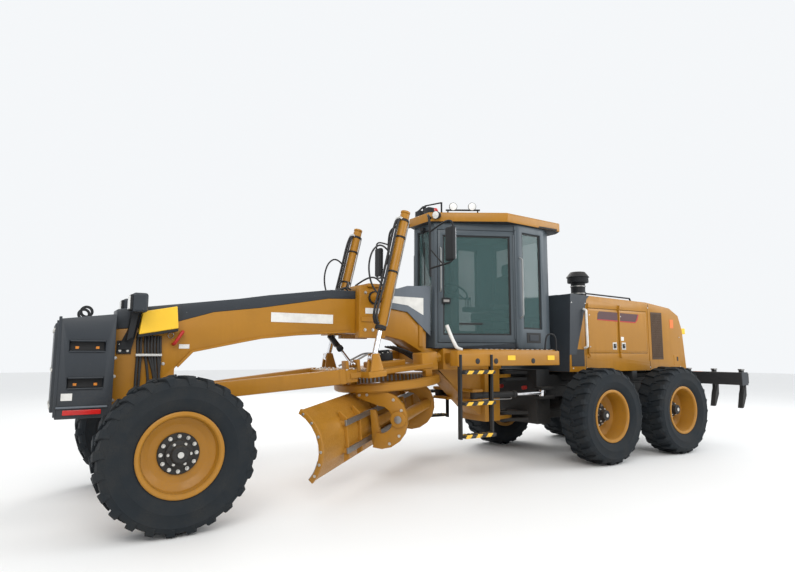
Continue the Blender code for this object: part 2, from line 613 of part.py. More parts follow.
def cylinders():
    cylinder("articulation_cylinder", (*ARTIC_FRONT, ARTIC_Z), (*ARTIC_REAR, ARTIC_Z), 0.72, 0.043, 0.024,
             (0, 0, 1), 0.0445, mirror=True)
    trunnion = (LIFT_TRUNNION[0], LIFT_Y, LIFT_TRUNNION[1])
    journal = rod((trunnion[0], LIFT_Y - LIFT_BARREL_R - 0.006, trunnion[2]), trunnion, 0.075, sides=12)
    cylinder("lift_cylinder", trunnion, (LIFT_BALL[0], LIFT_Y, LIFT_BALL[1]), 0.42, LIFT_BARREL_R, LIFT_ROD_R,
             (0, 1, 0), 0.034, mirror=True, behind=1.06, extra=[journal])
    cylinder("shift_cylinder", (SHIFT_X, *SHIFT_TOP), (SHIFT_X, *SHIFT_FOOT), 0.46, 0.033, 0.018, (1, 0, 0), 0.0345)
    cylinder("ripper_cylinder", (RIPPER_MAST[0], 0, RIPPER_MAST[1]), (RIPPER_EYE[0], 0, RIPPER_EYE[1]), 0.42, 0.045,
             0.026, (0, 1, 0), 0.0545)


def saddle():
    inner = COVER_HALF + FIT
    top = 2.2905 + FIT
    pieces = [*both(box((3.95, 4.32), (inner, 0.29), (1.70, top + 0.06))),
              box((3.95, 4.32), (-0.29, 0.29), (top, top + 0.06))]
    arm_end = LIFT_Y - LIFT_BARREL_R - 0.006 - FIT
    x, z = LIFT_TRUNNION
    pieces += [rod((x, side * 0.25, z), (x, side * arm_end, z), 0.065) for side in (-1, 1)]
    for low in (SHIFT_X - 0.075, SHIFT_X + 0.035):
        pieces.append(box((low, low + 0.04), (SHIFT_TOP[0] - 0.05, -0.20), (SHIFT_TOP[1] - 0.05, SHIFT_TOP[1] + 0.05)))
    pieces.append(box((4.25, SHIFT_X + 0.075), (-0.235, -0.19), (SHIFT_TOP[1] - 0.045, SHIFT_TOP[1] + 0.045)))
    make("blade_saddle", "yellow", pieces)


def blade_group():
    level = bpy.data.objects.new("drawbar_level", None)
    level.location = (BALL_X, 0, BALL_Z)
    level.rotation_euler = (0, PITCH, 0)
    level.parent = origin
    turn = bpy.data.objects.new("circle_turn", None)
    turn.location = (-CIRCLE_BACK, 0, 0)
    turn.rotation_euler = (0, 0, BLADE_YAW)
    turn.parent = level
    for helper in (level, turn):
        parts.objects.link(helper)

    def local(x, z):
        dx, dz = x - BALL_X, z - BALL_Z
        return dx * math.cos(PITCH) - dz * math.sin(PITCH), dx * math.sin(PITCH) + dz * math.cos(PITCH)

    beam = box((-1.75, -0.10), (0.02, 0.12), (-0.085, 0.085), turn=-math.radians(13), about=(-0.1, 0.05))
    pieces = [disc(0.065, (0, 0), -0.075, 0.075), box((-0.28, -0.02), (-0.07, 0.07), (-0.06, 0.06)), *both(beam)]
    pieces += [box((-1.85, -1.62), (-0.48, 0.48), (-0.075, 0.07)),
               box((-2.93, -1.75), (-0.50, 0.50), (-0.03, 0.03))]
    for shoe_x, shoe_y in ((RING_R - 0.08, 0.12), (-RING_R * 0.5, 0.40)):
        middle = -CIRCLE_BACK + shoe_x
        pieces += both(box((middle - 0.05, middle + 0.05), (shoe_y, shoe_y + 0.09), (RING_Z[1] + FIT, 0.01)))
    ball_x, ball_z = local(*LIFT_BALL)
    ear = [(ball_x - 0.10, -0.02), (ball_x - 0.04, ball_z + 0.05), (ball_x + 0.04, ball_z + 0.05), (ball_x + 0.10, -0.02)]
    for low in (LIFT_Y - 0.0645, LIFT_Y + 0.0345):
        pieces += both(plate(ear, low, low + 0.03))
    pieces.append(box((ball_x - 0.12, ball_x + 0.12), (-LIFT_Y - 0.07, LIFT_Y + 0.07), (-0.035, 0.036)))
    foot_x, foot_z = local(SHIFT_X, SHIFT_FOOT[1])
    for low in (foot_x - 0.083, foot_x + 0.070):
        pieces.append(box((low, low + 0.04), (SHIFT_FOOT[0] - 0.06, SHIFT_FOOT[0] + 0.06), (-0.02, foot_z + 0.05)))
    pieces += [box((-3.02, -2.78), (0.26, 0.49), (-0.06, 0.17), 0.01), rod((-2.90, 0.38, 0.05), (-3.14, 0.34, 0.09), 0.06, sides=12)]
    make("drawbar", "yellow", pieces, parent=level)

    ring = rod((0, 0, RING_Z[0]), (0, 0, RING_Z[1]), RING_R, sides=32)
    hole = rod((0, 0, RING_Z[0] - 0.1), (0, 0, RING_Z[1] + 0.1), RING_IN_R, sides=32)
    centre = (-0.10, -0.56)
    outer = [(centre[0] + 0.345 * math.cos(a), centre[1] + 0.345 * math.sin(a))
             for a in [math.radians(step) for step in range(90, 296, 20)]]
    inner = [(centre[0] + 0.165 * math.cos(a), centre[1] + 0.165 * math.sin(a))
             for a in [math.radians(step) for step in range(290, 89, -25)]]
    hook = [*outer, *inner, (0.17, RING_Z[0] - 0.06), (0.20, RING_Z[0] + 0.03), (0.0, RING_Z[0] + 0.03)]
    pieces = [ring, *both(plate(hook, *ARM_Y))]
    pieces.append(rod((-0.34, -ARM_Y[0] - 0.01, -0.56), (-0.34, ARM_Y[0] + 0.01, -0.56), 0.07))
    make("circle", "yellow", pieces, [hole], parent=turn)

    near = ARM_Y[0] - FIT
    carrier = [(RAIL_BACK_X - FIT, -0.45), (RAIL_BACK_X - FIT, -0.87), (-0.05, -0.87), (-0.075, -0.79), (-0.05, -0.60),
               (-0.03, -0.45)]
    pieces = both(plate(carrier, near - 0.06, near))
    pieces.append(box((-0.03, RAIL_BACK_X - FIT), (-near + 0.02, near - 0.02), (-0.66, -0.55)))
    make("blade_carrier", "yellow", pieces, pivot=(TILT_PIVOT[0], 0, TILT_PIVOT[1]), parent=turn)

    low, high = Vector(BLADE_BOTTOM), Vector(BLADE_TOP)
    half_chord = (high - low).length / 2
    radius = (half_chord ** 2 + BLADE_SAG ** 2) / (2 * BLADE_SAG)
    up = (high - low).normalized()
    forward = Vector((up.y, -up.x))
    middle = (low + high) / 2 + forward * (radius - BLADE_SAG)
    spread = math.asin(half_chord / radius)
    steps = [spread * (index / 4 - 1) for index in range(9)]

    def arc(size):
        return [tuple(middle - forward * size * math.cos(a) + up * size * math.sin(a)) for a in steps]

    band = [*arc(radius), *reversed(arc(radius + BLADE_THICK))]
    half = BLADE_LENGTH / 2
    pieces = [plate(band, 0.004 - half, half - 0.004)]
    pieces += both(plate([*arc(radius - 0.008), *reversed(arc(radius + BLADE_THICK + 0.012))], half - 0.04, half))
    pieces.append(box((RAIL_BACK_X, 0.16), (-1.25, 1.25), (-0.80, -0.75)))
    pieces.append(box((RAIL_BACK_X, 0.14), (-1.25, 1.25), (-0.50, -0.45)))
    for piece in pieces:
        piece.transform(Matrix.Translation((0, BLADE_SHIFT, 0)))
    make("moldboard", "yellow", pieces, pivot=(TILT_PIVOT[0], 0, TILT_PIVOT[1]), parent=turn)


def ripper():
    x, z = RIPPER_PIVOT
    arm = [(x + 0.06, z - 0.05), (x + 0.06, z + 0.05), (-2.96, 1.16), (-2.98, 1.0)]
    pieces = both(plate(arm, 0.19 + FIT, 0.25 - FIT))
    pieces.append(box((-3.16, -2.94), (-1.09, 1.09), (0.97, 1.19)))
    tower = [(-2.95, 1.02), (RIPPER_EYE[0] + 0.05, RIPPER_EYE[1] - 0.05), (RIPPER_EYE[0] + 0.05, RIPPER_EYE[1] + 0.05),
             (-2.95, 1.18)]
    pieces += both(plate(tower, 0.055, 0.095))
    shank = [(-3.20, 1.24), (-3.20, 0.92), (-3.17, 0.76), (-3.05, 0.58), (-3.10, 0.76), (-3.12, 0.92), (-3.12, 1.24)]
    for y in SHANK_Y:
        pieces.append(plate(shank, y - 0.03, y + 0.03))
        pieces.append(box((REAR_END, -3.10), (y - 0.055, y + 0.055), (0.99, 1.17)))
    make("ripper", "black", pieces, pivot=(x, 0, z))


wheels()
rear_frame()
tandems()
engine()
hood()
gooseneck()
counterweight()
front_axle()
cab()
saddle()
blade_group()
cylinders()
ripper()
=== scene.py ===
"""Motor grader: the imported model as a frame, with finished surfaces, fittings, a stage and a camera."""

import json
import math

import bmesh
import bpy
from mathutils import Matrix, Vector


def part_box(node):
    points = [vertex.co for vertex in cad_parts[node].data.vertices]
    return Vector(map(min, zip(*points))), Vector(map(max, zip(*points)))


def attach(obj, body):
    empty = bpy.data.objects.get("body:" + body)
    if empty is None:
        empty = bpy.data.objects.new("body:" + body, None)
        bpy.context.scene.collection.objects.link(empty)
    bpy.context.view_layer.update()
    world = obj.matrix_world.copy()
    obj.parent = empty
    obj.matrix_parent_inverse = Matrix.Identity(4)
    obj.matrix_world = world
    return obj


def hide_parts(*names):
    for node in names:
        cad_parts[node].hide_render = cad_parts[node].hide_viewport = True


bl_info = {
    "name": "Motor Grader Finish",
    "version": (1, 0, 0),
    "blender": (4, 5, 0),
    "location": "View3D > Sidebar > Grader",
    "description": "Finishes a packed motor grader with detailed wheels, cab, hood, blade and fittings",
    "category": "Object",
}

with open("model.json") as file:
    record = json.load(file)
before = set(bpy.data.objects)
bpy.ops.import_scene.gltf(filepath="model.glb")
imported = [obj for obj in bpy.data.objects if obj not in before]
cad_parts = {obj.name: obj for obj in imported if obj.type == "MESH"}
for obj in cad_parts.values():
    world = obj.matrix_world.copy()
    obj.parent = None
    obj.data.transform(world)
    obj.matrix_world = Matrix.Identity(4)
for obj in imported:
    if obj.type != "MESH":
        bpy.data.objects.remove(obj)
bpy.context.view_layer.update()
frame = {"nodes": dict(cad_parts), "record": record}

# Stations run forward from the middle of the tandem, which lies this far behind the origin.
TANDEM_X = -2.10
AXLE_Z = 0.6593
WHEELS = (("front", 6.55, 1.137, "front_wheel"), ("middle", 0.85, 1.07, "middle_wheel"),
          ("rear", -0.85, 1.07, "rear_wheel"))
PITCH = math.radians(5.5)
BLADE_YAW = math.radians(-51.3)
BALL = (6.28, 1.08)
CIRCLE_BACK = 2.53


def at(x, y, z):
    """A point from its station, left offset and height."""
    return Vector((x + TANDEM_X, y, z))


# ---------------------------------------------------------------- shader graph


class Value:
    """One output socket that can be used in arithmetic; each operation adds a Math node."""

    def __init__(self, graph, socket):
        self.graph, self.socket = graph, socket

    def _math(self, operation, *terms):
        return self.graph.add("ShaderNodeMath", {"operation": operation}, dict(enumerate(terms)))

    def __add__(self, other):
        return self._math("ADD", self, other)

    def __sub__(self, other):
        return self._math("SUBTRACT", self, other)

    def __mul__(self, other):
        return self._math("MULTIPLY", self, other)

    def __truediv__(self, other):
        return self._math("DIVIDE", self, other)

    def __mod__(self, other):
        return self._math("FLOORED_MODULO", self, other)

    def __rsub__(self, other):
        return self._math("SUBTRACT", other, self)

    __radd__ = __add__

    def clamped(self):
        return self.graph.add("ShaderNodeClamp", {}, {0: self})


class Graph:
    """The node tree of one material."""

    def __init__(self, name):
        self.material = bpy.data.materials.new(name)
        self.material.use_nodes = True
        self.tree = self.material.node_tree
        self.tree.nodes.clear()

    def add(self, kind, settings, sockets, out=0):
        """Adds a node: its settings first, then a value or a link for each named or numbered socket."""
        node = self.tree.nodes.new(kind)
        for key, value in settings.items():
            setattr(node, key, value)
        for key, value in sockets.items():
            socket = node.inputs[key]
            if isinstance(value, Value):
                self.tree.links.new(value.socket, socket)
            else:
                socket.default_value = value
        return Value(self, node.outputs[out]) if node.outputs else node

    def place(self):
        return self.add("ShaderNodeTexCoord", {}, {}, "Object")

    def axes(self, place):
        return [self.add("ShaderNodeSeparateXYZ", {}, {0: place}, index) for index in range(3)]

    def stretched(self, place, scale):
        return self.add("ShaderNodeMapping", {}, {"Vector": place, "Scale": scale})

    def noise(self, place, scale, detail=3.0, rough=0.55):
        return self.add("ShaderNodeTexNoise", {}, {"Vector": place, "Scale": scale, "Detail": detail,
                                                   "Roughness": rough})

    def band(self, factor, low, high):
        """0 below low, 1 above high."""
        return self.add("ShaderNodeMapRange", {"clamp": True},
                        {"Value": factor, "From Min": low, "From Max": high})

    def mix(self, factor, first, second):
        return self.add("ShaderNodeMix", {"data_type": "RGBA"}, {0: factor, 6: first, 7: second}, 2)

    def bump(self, height, strength, distance=0.002):
        return self.add("ShaderNodeBump", {},
                        {"Strength": strength, "Distance": distance, "Height": height})

    def surface(self, sockets):
        shader = self.add("ShaderNodeBsdfPrincipled", {}, sockets)
        self.add("ShaderNodeOutputMaterial", {}, {"Surface": shader})
        return self.material


def rgb(colour):
    return (*colour[:3], 1.0)


def painted(name, colour, rough, dust=0.09, coat=0.10, chip=(0.05, 0.05, 0.055), low_dirt=0.28, gloss=0.32):
    """Sprayed machine paint: orange peel, settled dust, streaks, small chips and dirt low down."""
    g = Graph(name)
    place = g.place()
    _, _, height = g.axes(place)
    cloud = g.noise(place, 2.6, 4.0)
    streak = g.noise(g.stretched(place, (14.0, 14.0, 0.9)), 1.0, 3.0)
    fine = g.noise(place, 60.0, 4.0, 0.6)
    peel = g.noise(place, 420.0, 1.0)
    upward = g.axes(g.add("ShaderNodeNewGeometry", {}, {}, "Normal"))[2]
    grime = g.band(cloud, 0.42, 0.72) * g.band(streak, 0.40, 0.75)
    settled = g.band(upward, 0.55, 0.98) * g.band(fine + cloud, 0.75, 1.25)
    low = (1 - g.band(height, 0.25, 1.5)) * g.band(fine, 0.35, 0.62)
    chips = g.band(g.noise(place, 34.0, 5.0, 0.7), 0.685, 0.70) * g.band(cloud, 0.50, 0.56)
    shade = g.mix(g.band(cloud, 0.3, 0.7), rgb([c * 0.90 for c in colour]),
                  rgb([min(1, c * 1.07) for c in colour]))
    shade = g.mix(grime * 0.30, shade, rgb([c * 0.45 for c in colour]))
    shade = g.mix(settled * dust, shade, (0.30, 0.26, 0.20, 1))
    shade = g.mix(low * low_dirt * 0.6, shade, (0.19, 0.155, 0.11, 1))
    shade = g.mix(chips * 0.8, shade, rgb(chip))
    roughness = (rough + grime * 0.15 + settled * 0.25 + low * 0.25 + fine * 0.08).clamped()
    return g.surface({"Base Color": shade, "Roughness": roughness,
                      "Coat Weight": (coat - settled * coat).clamped(),
                      "Coat Roughness": 0.18, "Specular IOR Level": gloss,
                      "Normal": g.bump(peel * 0.3 + fine * 0.25 - chips, 0.16, 0.0015)})


def tyre_rubber(name, colour):
    g = Graph(name)
    place = g.place()
    cloud, fine = g.noise(place, 5.0, 4.0), g.noise(place, 95.0, 4.0, 0.65)
    dust = (g.band(cloud, 0.40, 0.70) * g.band(fine, 0.30, 0.70)).clamped()
    shade = g.mix(dust * 0.45, rgb(colour), (0.055, 0.050, 0.043, 1))
    shade = g.mix(g.band(fine, 0.60, 0.75) * 0.3, shade, rgb([c * 0.5 for c in colour]))
    return g.surface({"Base Color": shade, "Roughness": (0.72 + dust * 0.2).clamped(),
                      "Specular IOR Level": 0.18,
                      "Normal": g.bump(fine + g.noise(place, 18.0, 2.0) * 0.5, 0.35, 0.002)})


def metal(name, colour, rough, scratch=0.1, metallic=1.0):
    g = Graph(name)
    place = g.place()
    lines = g.noise(g.stretched(place, (6.0, 6.0, 220.0)), 1.0, 2.0)
    cloud = g.noise(place, 12.0, 4.0)
    stain = g.band(cloud, 0.55, 0.75)
    shade = g.mix(stain * 0.45, rgb(colour), rgb([c * 0.45 for c in colour]))
    return g.surface({"Base Color": shade, "Metallic": metallic,
                      "Roughness": (rough + stain * 0.2 + lines * scratch)
                      .clamped(), "Normal": g.bump(lines + cloud * 0.5, 0.06, 0.001)})


def plastic(name, colour, rough=0.45, glow=0.0):
    g = Graph(name)
    place = g.place()
    grain = g.noise(place, 260.0, 2.0)
    cloud = g.noise(place, 9.0, 3.0)
    shade = g.mix(g.band(cloud, 0.35, 0.75), rgb(colour), rgb([c * 0.80 + 0.01 for c in colour]))
    return g.surface({"Base Color": shade, "Roughness": (rough + cloud * 0.15).clamped(),
                      "Emission Color": rgb(colour), "Emission Strength": glow,
                      "Normal": g.bump(grain, 0.12, 0.0008)})


def fabric(name, colour):
    g = Graph(name)
    place = g.place()
    weave = g.add("ShaderNodeTexWave", {"bands_direction": "X"}, {"Vector": place, "Scale": 240.0})
    cross = g.add("ShaderNodeTexWave", {"bands_direction": "Z"}, {"Vector": place, "Scale": 240.0})
    cloud = g.noise(place, 14.0, 3.0)
    shade = g.mix(g.band(cloud, 0.3, 0.7), rgb([c * 0.8 for c in colour]), rgb([c * 1.25 for c in colour]))
    return g.surface({"Base Color": shade, "Roughness": 0.85, "Sheen Weight": 0.3,
                      "Normal": g.bump(weave * 0.5 + cross * 0.5, 0.3, 0.0008)})


def glazing(name, colour, clear):
    """Tinted sheet glass: mostly clear, with a film of dust and a sharp reflection."""
    g = Graph(name)
    place = g.place()
    film = g.band(g.noise(g.stretched(place, (1.0, 1.0, 0.5)), 3.0, 4.0), 0.40, 0.80)
    pane = g.add("ShaderNodeBsdfPrincipled", {},
                 {"Base Color": rgb(colour), "Roughness": 0.04 + film * 0.06,
                                                   "Alpha": (1 - clear) + film * 0.06})
    g.add("ShaderNodeOutputMaterial", {}, {"Surface": pane})
    return g.material


def striped(name, light, dark, width):
    """Slanting hazard bands in two colours, scuffed."""
    g = Graph(name)
    place = g.place()
    x, y, z = g.axes(place)
    bands = g.band(((x + z * 0.9 + y * 0.35) / width) % 1.0, 0.49, 0.51)
    scuff = g.band(g.noise(place, 26.0, 4.0), 0.56, 0.66)
    shade = g.mix(bands, rgb(dark), rgb(light))
    shade = g.mix(scuff * 0.5, shade, (0.12, 0.11, 0.10, 1))
    return g.surface({"Base Color": shade, "Roughness": (0.5 + scuff * 0.25).clamped(),
                      "Normal": g.bump(g.noise(place, 90.0, 2.0), 0.15, 0.001)})


# ---------------------------------------------------------------- finishes

FINISHES = {}


def mix_finishes(tones):
    """Every finish on the machine, from the colours in the panel."""
    make = {
        "yellow": lambda: painted("Yellow machine paint", tones.yellow, 0.36),
        "grey": lambda: painted("Dark grey panel paint", tones.grey, 0.42, dust=0.12, coat=0.1, gloss=0.3,
                                chip=(0.3, 0.3, 0.3)),
        # Pale grey: the paint of some panels, and also a painted highlight where regions give it to upward faces lit
        # from above.
        "pale_grey_and_top_highlight": lambda: painted("Pale grey paint and painted top highlight", tones.pale_grey_and_top_highlight, 0.45, dust=0.08, coat=0.1),
        "cab_grey": lambda: painted("Blue grey cab paint", tones.cab, 0.4, dust=0.10, coat=0.1,
                                    chip=(0.3, 0.3, 0.3)),
        "black": lambda: painted("Black chassis paint", tones.black, 0.5, dust=0.25, coat=0.0, gloss=0.25,
                                 chip=(0.2, 0.17, 0.14)),
        # Yellow darkened to brown: painted shade for the louvred grille on the hood sides.
        "grille_shade": lambda: painted("Yellow in painted shade", (0.075, 0.042, 0.022), 0.55, coat=0.05),
        "bright_yellow": lambda: painted("Bright yellow paint", (0.86, 0.52, 0.03), 0.35, dust=0.15),
        "red": lambda: painted("Red paint", (0.42, 0.02, 0.015), 0.35, dust=0.15),
        "tyre": lambda: tyre_rubber("Tyre rubber", tones.tyre),
        "chrome": lambda: metal("Chromed rod", (0.78, 0.78, 0.80), 0.10, 0.05),
        "steel": lambda: metal("Worn steel", (0.30, 0.29, 0.28), 0.38),
        "zinc": lambda: metal("Zinc plated bolt", (0.62, 0.61, 0.58), 0.30),
        "hose": lambda: plastic("Hose rubber", (0.012, 0.012, 0.013), 0.55),
        "pale_hose": lambda: plastic("Grey braided hose", (0.28, 0.29, 0.29), 0.5),
        "label_red": lambda: plastic("Dark red blank label", (0.060, 0.010, 0.012), 0.35),
        "white": lambda: plastic("White blank label", (0.72, 0.71, 0.68), 0.4),
        "orange": lambda: plastic("Orange blank label", (0.70, 0.16, 0.02), 0.4),
        "seal": lambda: plastic("Window seal", (0.010, 0.010, 0.011), 0.6),
        "trim": lambda: plastic("Cab trim", (0.060, 0.060, 0.062), 0.6),
        "lamp": lambda: plastic("Lamp lens", (0.82, 0.82, 0.80), 0.08),
        "reflector": lambda: plastic("Red reflector", (0.55, 0.012, 0.010), 0.15),
        "amber": lambda: plastic("Amber lens", (0.85, 0.28, 0.02), 0.15),
        "cloth": lambda: fabric("Cushion cloth", (0.035, 0.036, 0.040)),
        "glass": lambda: glazing("Tinted cab glass", tones.glass, 0.52),
        "stripes": lambda: striped("Hazard bands", (0.78, 0.46, 0.03), (0.012, 0.012, 0.012), 0.16),
    }
    for key, build in make.items():
        FINISHES[key] = build()


# ---------------------------------------------------------------- modelling tools


def fresh():
    """Object mode with nothing selected."""
    if bpy.context.mode != "OBJECT":
        bpy.ops.object.mode_set(mode="OBJECT")
    bpy.ops.object.select_all(action="DESELECT")


def settled(obj, edge=0.0, steps=2, angle=35):
    """The transform goes into the mesh, and edges sharper than the angle are rounded by a bevel."""
    fresh()
    obj.select_set(True)
    bpy.context.view_layer.objects.active = obj
    bpy.ops.object.transform_apply(location=True, rotation=True, scale=True)
    if edge:
        bpy.ops.object.modifier_add(type="BEVEL")
        bevel = obj.modifiers[-1]
        bevel.width, bevel.segments, bevel.angle_limit = edge, steps, math.radians(angle)
        bpy.ops.object.modifier_apply(modifier=bevel.name)
    return obj


def block(x, y, z, edge=0.004, finish="yellow", steps=2):
    """A box between stations, offsets and heights, with rounded edges."""
    fresh()
    low, high = at(x[0], y[0], z[0]), at(x[1], y[1], z[1])
    bpy.ops.mesh.primitive_cube_add(size=1, location=(low + high) / 2, scale=high - low)
    obj = settled(bpy.context.object, edge, steps)
    obj.data.materials.append(FINISHES[finish])
    return obj


def round_bar(start, end, radius, tip=None, edge=0.002, sides=24, finish="black", steps=2):
    """A round bar or cone between two points."""
    fresh()
    start, end = Vector(start), Vector(end)
    along = end - start
    bpy.ops.mesh.primitive_cone_add(vertices=sides, radius1=radius, radius2=radius if tip is None else tip,
                                    depth=along.length, location=(start + end) / 2,
                                    rotation=along.to_track_quat("Z", "Y").to_euler())
    obj = settled(bpy.context.object, edge, steps, 50)
    smooth(obj)
    obj.data.materials.append(FINISHES[finish])
    return obj


def smooth(obj, angle=35):
    fresh()
    obj.select_set(True)
    bpy.context.view_layer.objects.active = obj
    bpy.ops.object.shade_smooth_by_angle(angle=math.radians(angle))
    return obj


def chain(points):
    """A new mesh object in edit mode holding one open chain of edges through the points."""
    fresh()
    bpy.ops.mesh.primitive_plane_add(size=1)
    obj = bpy.context.object
    bpy.ops.object.mode_set(mode="EDIT")
    mesh = bmesh.from_edit_mesh(obj.data)
    mesh.verts.ensure_lookup_table()
    bmesh.ops.delete(mesh, geom=mesh.verts[1:], context="VERTS")
    mesh.verts.ensure_lookup_table()
    mesh.verts[0].co = points[0]
    mesh.verts[0].select_set(True)
    bmesh.update_edit_mesh(obj.data)
    for before, after in zip(points, points[1:]):
        bpy.ops.mesh.extrude_vertices_move(TRANSFORM_OT_translate={"value": Vector(after) - Vector(before)})
    bpy.ops.mesh.select_all(action="SELECT")
    return obj


def turned(profile, centre, steps=48, finish="black", axis=(0, 1, 0), edge_angle=30):
    """A turned shape: profile gives (radius, distance along the axis) pairs."""
    centre, axis = Vector(centre), Vector(axis).normalized()
    side = axis.orthogonal().normalized()
    obj = chain([centre + axis * along + side * radius for radius, along in profile])
    bpy.ops.mesh.spin(steps=steps, angle=math.tau, center=centre, axis=axis)
    bpy.ops.mesh.select_all(action="SELECT")
    bpy.ops.mesh.remove_doubles(threshold=0.00005)
    bpy.ops.mesh.normals_make_consistent(inside=False)
    bpy.ops.object.mode_set(mode="OBJECT")
    smooth(obj, edge_angle)
    obj.data.materials.append(FINISHES[finish])
    return obj


def slab(outline, low, high, across="Y", edge=0.003, finish="yellow", place=at):
    """A plate cut to an outline and given a thickness across it."""
    spots = {"Y": lambda a, b: place(a, low, b), "Z": lambda a, b: place(a, b, low),
             "X": lambda a, b: place(low, a, b)}[across]
    obj = chain([spots(a, b) for a, b in outline])
    bpy.ops.mesh.edge_face_add()
    ends = {"Y": (place(0, low, 0), place(0, high, 0)), "Z": (place(0, 0, low), place(0, 0, high)),
            "X": (place(low, 0, 0), place(high, 0, 0))}[across]
    bpy.ops.mesh.extrude_region_move(TRANSFORM_OT_translate={"value": ends[1] - ends[0]})
    bpy.ops.mesh.select_all(action="SELECT")
    bpy.ops.mesh.normals_make_consistent(inside=False)
    bpy.ops.object.mode_set(mode="OBJECT")
    settled(obj, edge)
    obj.data.materials.append(FINISHES[finish])
    return obj


def line(points, radius, finish="hose", sides=3, order=3):
    """A pipe, hose or bent rail along smooth points."""
    fresh()
    bpy.ops.curve.primitive_nurbs_path_add(radius=1)
    obj = bpy.context.object
    data = obj.data
    data.splines.clear()
    spline = data.splines.new("NURBS")
    spline.points.add(len(points) - 1)
    for spot, point in zip(spline.points, points):
        spot.co = (*point, 1)
    spline.order_u, spline.use_endpoint_u, spline.resolution_u = order, True, 8
    data.dimensions, data.bevel_depth, data.bevel_resolution, data.use_fill_caps = "3D", radius, sides, True
    bpy.ops.object.convert(target="MESH")
    obj = bpy.context.object
    settled(obj)
    smooth(obj, 60)
    obj.data.materials.clear()
    obj.data.materials.append(FINISHES[finish])
    return obj


def copied(obj, matrix):
    """A copy with its own mesh, moved by the matrix; a mirrored one is turned right side out."""
    twin = obj.copy()
    twin.data = obj.data.copy()
    twin.data.transform(matrix)
    if matrix.determinant() < 0:
        twin.data.flip_normals()
    bpy.context.collection.objects.link(twin)
    return twin


MIRROR = Matrix.Scale(-1, 4, (0, 1, 0))


def both_sides(parts):
    return [*parts, *[copied(part, MIRROR) for part in parts]]


def hexagon_bolt(radius=0.014, height=0.012, finish="zinc", washer=True):
    """A bolt head on its washer, standing on the origin along Z."""
    head = round_bar((0, 0, height * 0.25), (0, 0, height), radius, edge=radius * 0.12, sides=6,
                     finish=finish, steps=1)
    parts = [head]
    if washer:
        parts.append(round_bar((0, 0, -0.001), (0, 0, height * 0.3), radius * 1.3, edge=0, sides=14,
                               finish=finish))
    return welded(parts)


def welded(parts):
    """Several objects made one."""
    fresh()
    for part in parts:
        part.select_set(True)
    bpy.context.view_layer.objects.active = parts[0]
    if len(parts) > 1:
        bpy.ops.object.join()
    return bpy.context.view_layer.objects.active


def repeated(template, spots, normal):
    """Copies of a small part at each spot, standing along the normal. The template is removed."""
    turn = Vector(normal).to_track_quat("Z", "Y").to_matrix().to_4x4()
    made = [copied(template, Matrix.Translation(spot) @ turn) for spot in spots]
    bpy.data.objects.remove(template, do_unlink=True)
    return made


def finished(name, parts, body, stands_for=()):
    """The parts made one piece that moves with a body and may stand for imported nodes."""
    piece = welded(parts)
    piece.name = piece.data.name = name
    settled(piece)
    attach(piece, body)
    if stands_for:
        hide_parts(*stands_for)
    return piece


def body_of_node(node):
    bodies = frame["record"]["behaviour"]["bodies"]
    return next(body for body, nodes in bodies.items() if node in nodes)


def rounded_copy(node, finish, edge=0.005, extra=(), regions=()):
    """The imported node's own shape with its sharp edges eased and its finish on, and extra parts welded to it.

    regions are (finish, test) pairs: a face whose middle and normal pass the test takes that finish."""
    source = frame["nodes"][node]
    twin = copied(source, Matrix.Identity(4))
    twin.parent = None
    twin.matrix_world = Matrix.Identity(4)
    for key in [key for key in twin.keys() if key.startswith("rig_")]:
        del twin[key]
    for modifier in list(twin.modifiers):
        twin.modifiers.remove(modifier)
    fresh()
    twin.hide_render = False
    twin.select_set(True)
    bpy.context.view_layer.objects.active = twin
    bpy.ops.object.mode_set(mode="EDIT")
    bpy.ops.mesh.select_all(action="SELECT")
    bpy.ops.mesh.remove_doubles(threshold=0.0001)
    bpy.ops.mesh.dissolve_limited(angle_limit=math.radians(0.6))
    bpy.ops.object.mode_set(mode="OBJECT")
    if edge:
        bpy.ops.object.modifier_add(type="BEVEL")
        bevel = twin.modifiers[-1]
        bevel.width, bevel.segments, bevel.angle_limit = edge, 2, math.radians(33)
        bevel.use_clamp_overlap = False
        bpy.ops.object.modifier_apply(modifier=bevel.name)
    smooth(twin, 32)
    twin.data.materials.clear()
    twin.data.materials.append(FINISHES[finish])
    for index, (other, test) in enumerate(regions, 1):
        twin.data.materials.append(FINISHES[other])
        for face in twin.data.polygons:
            if test(face.center - Vector((TANDEM_X, 0, 0)), face.normal):
                face.material_index = index
    for face in twin.data.polygons if not regions else ():
        face.material_index = 0
    return finished(node + "_finished", [twin, *extra], body_of_node(node), (node,))


# ---------------------------------------------------------------- wheels


def tread_lug():
    """One lug over the crown and left shoulder, at the top of a wheel centred on the origin."""
    outline = [(0.010, 0.618), (0.010, 0.6565), (0.168, 0.6560), (0.203, 0.636), (0.2245, 0.588),
               (0.222, 0.574),
               (0.200, 0.590)]
    lug = slab(outline, -0.036, 0.036, "X", 0.005, "tyre", place=lambda x, y, z: Vector((x, y, z)))
    lug.data.transform(Matrix.Rotation(math.radians(17), 4, "Z"))
    return lug


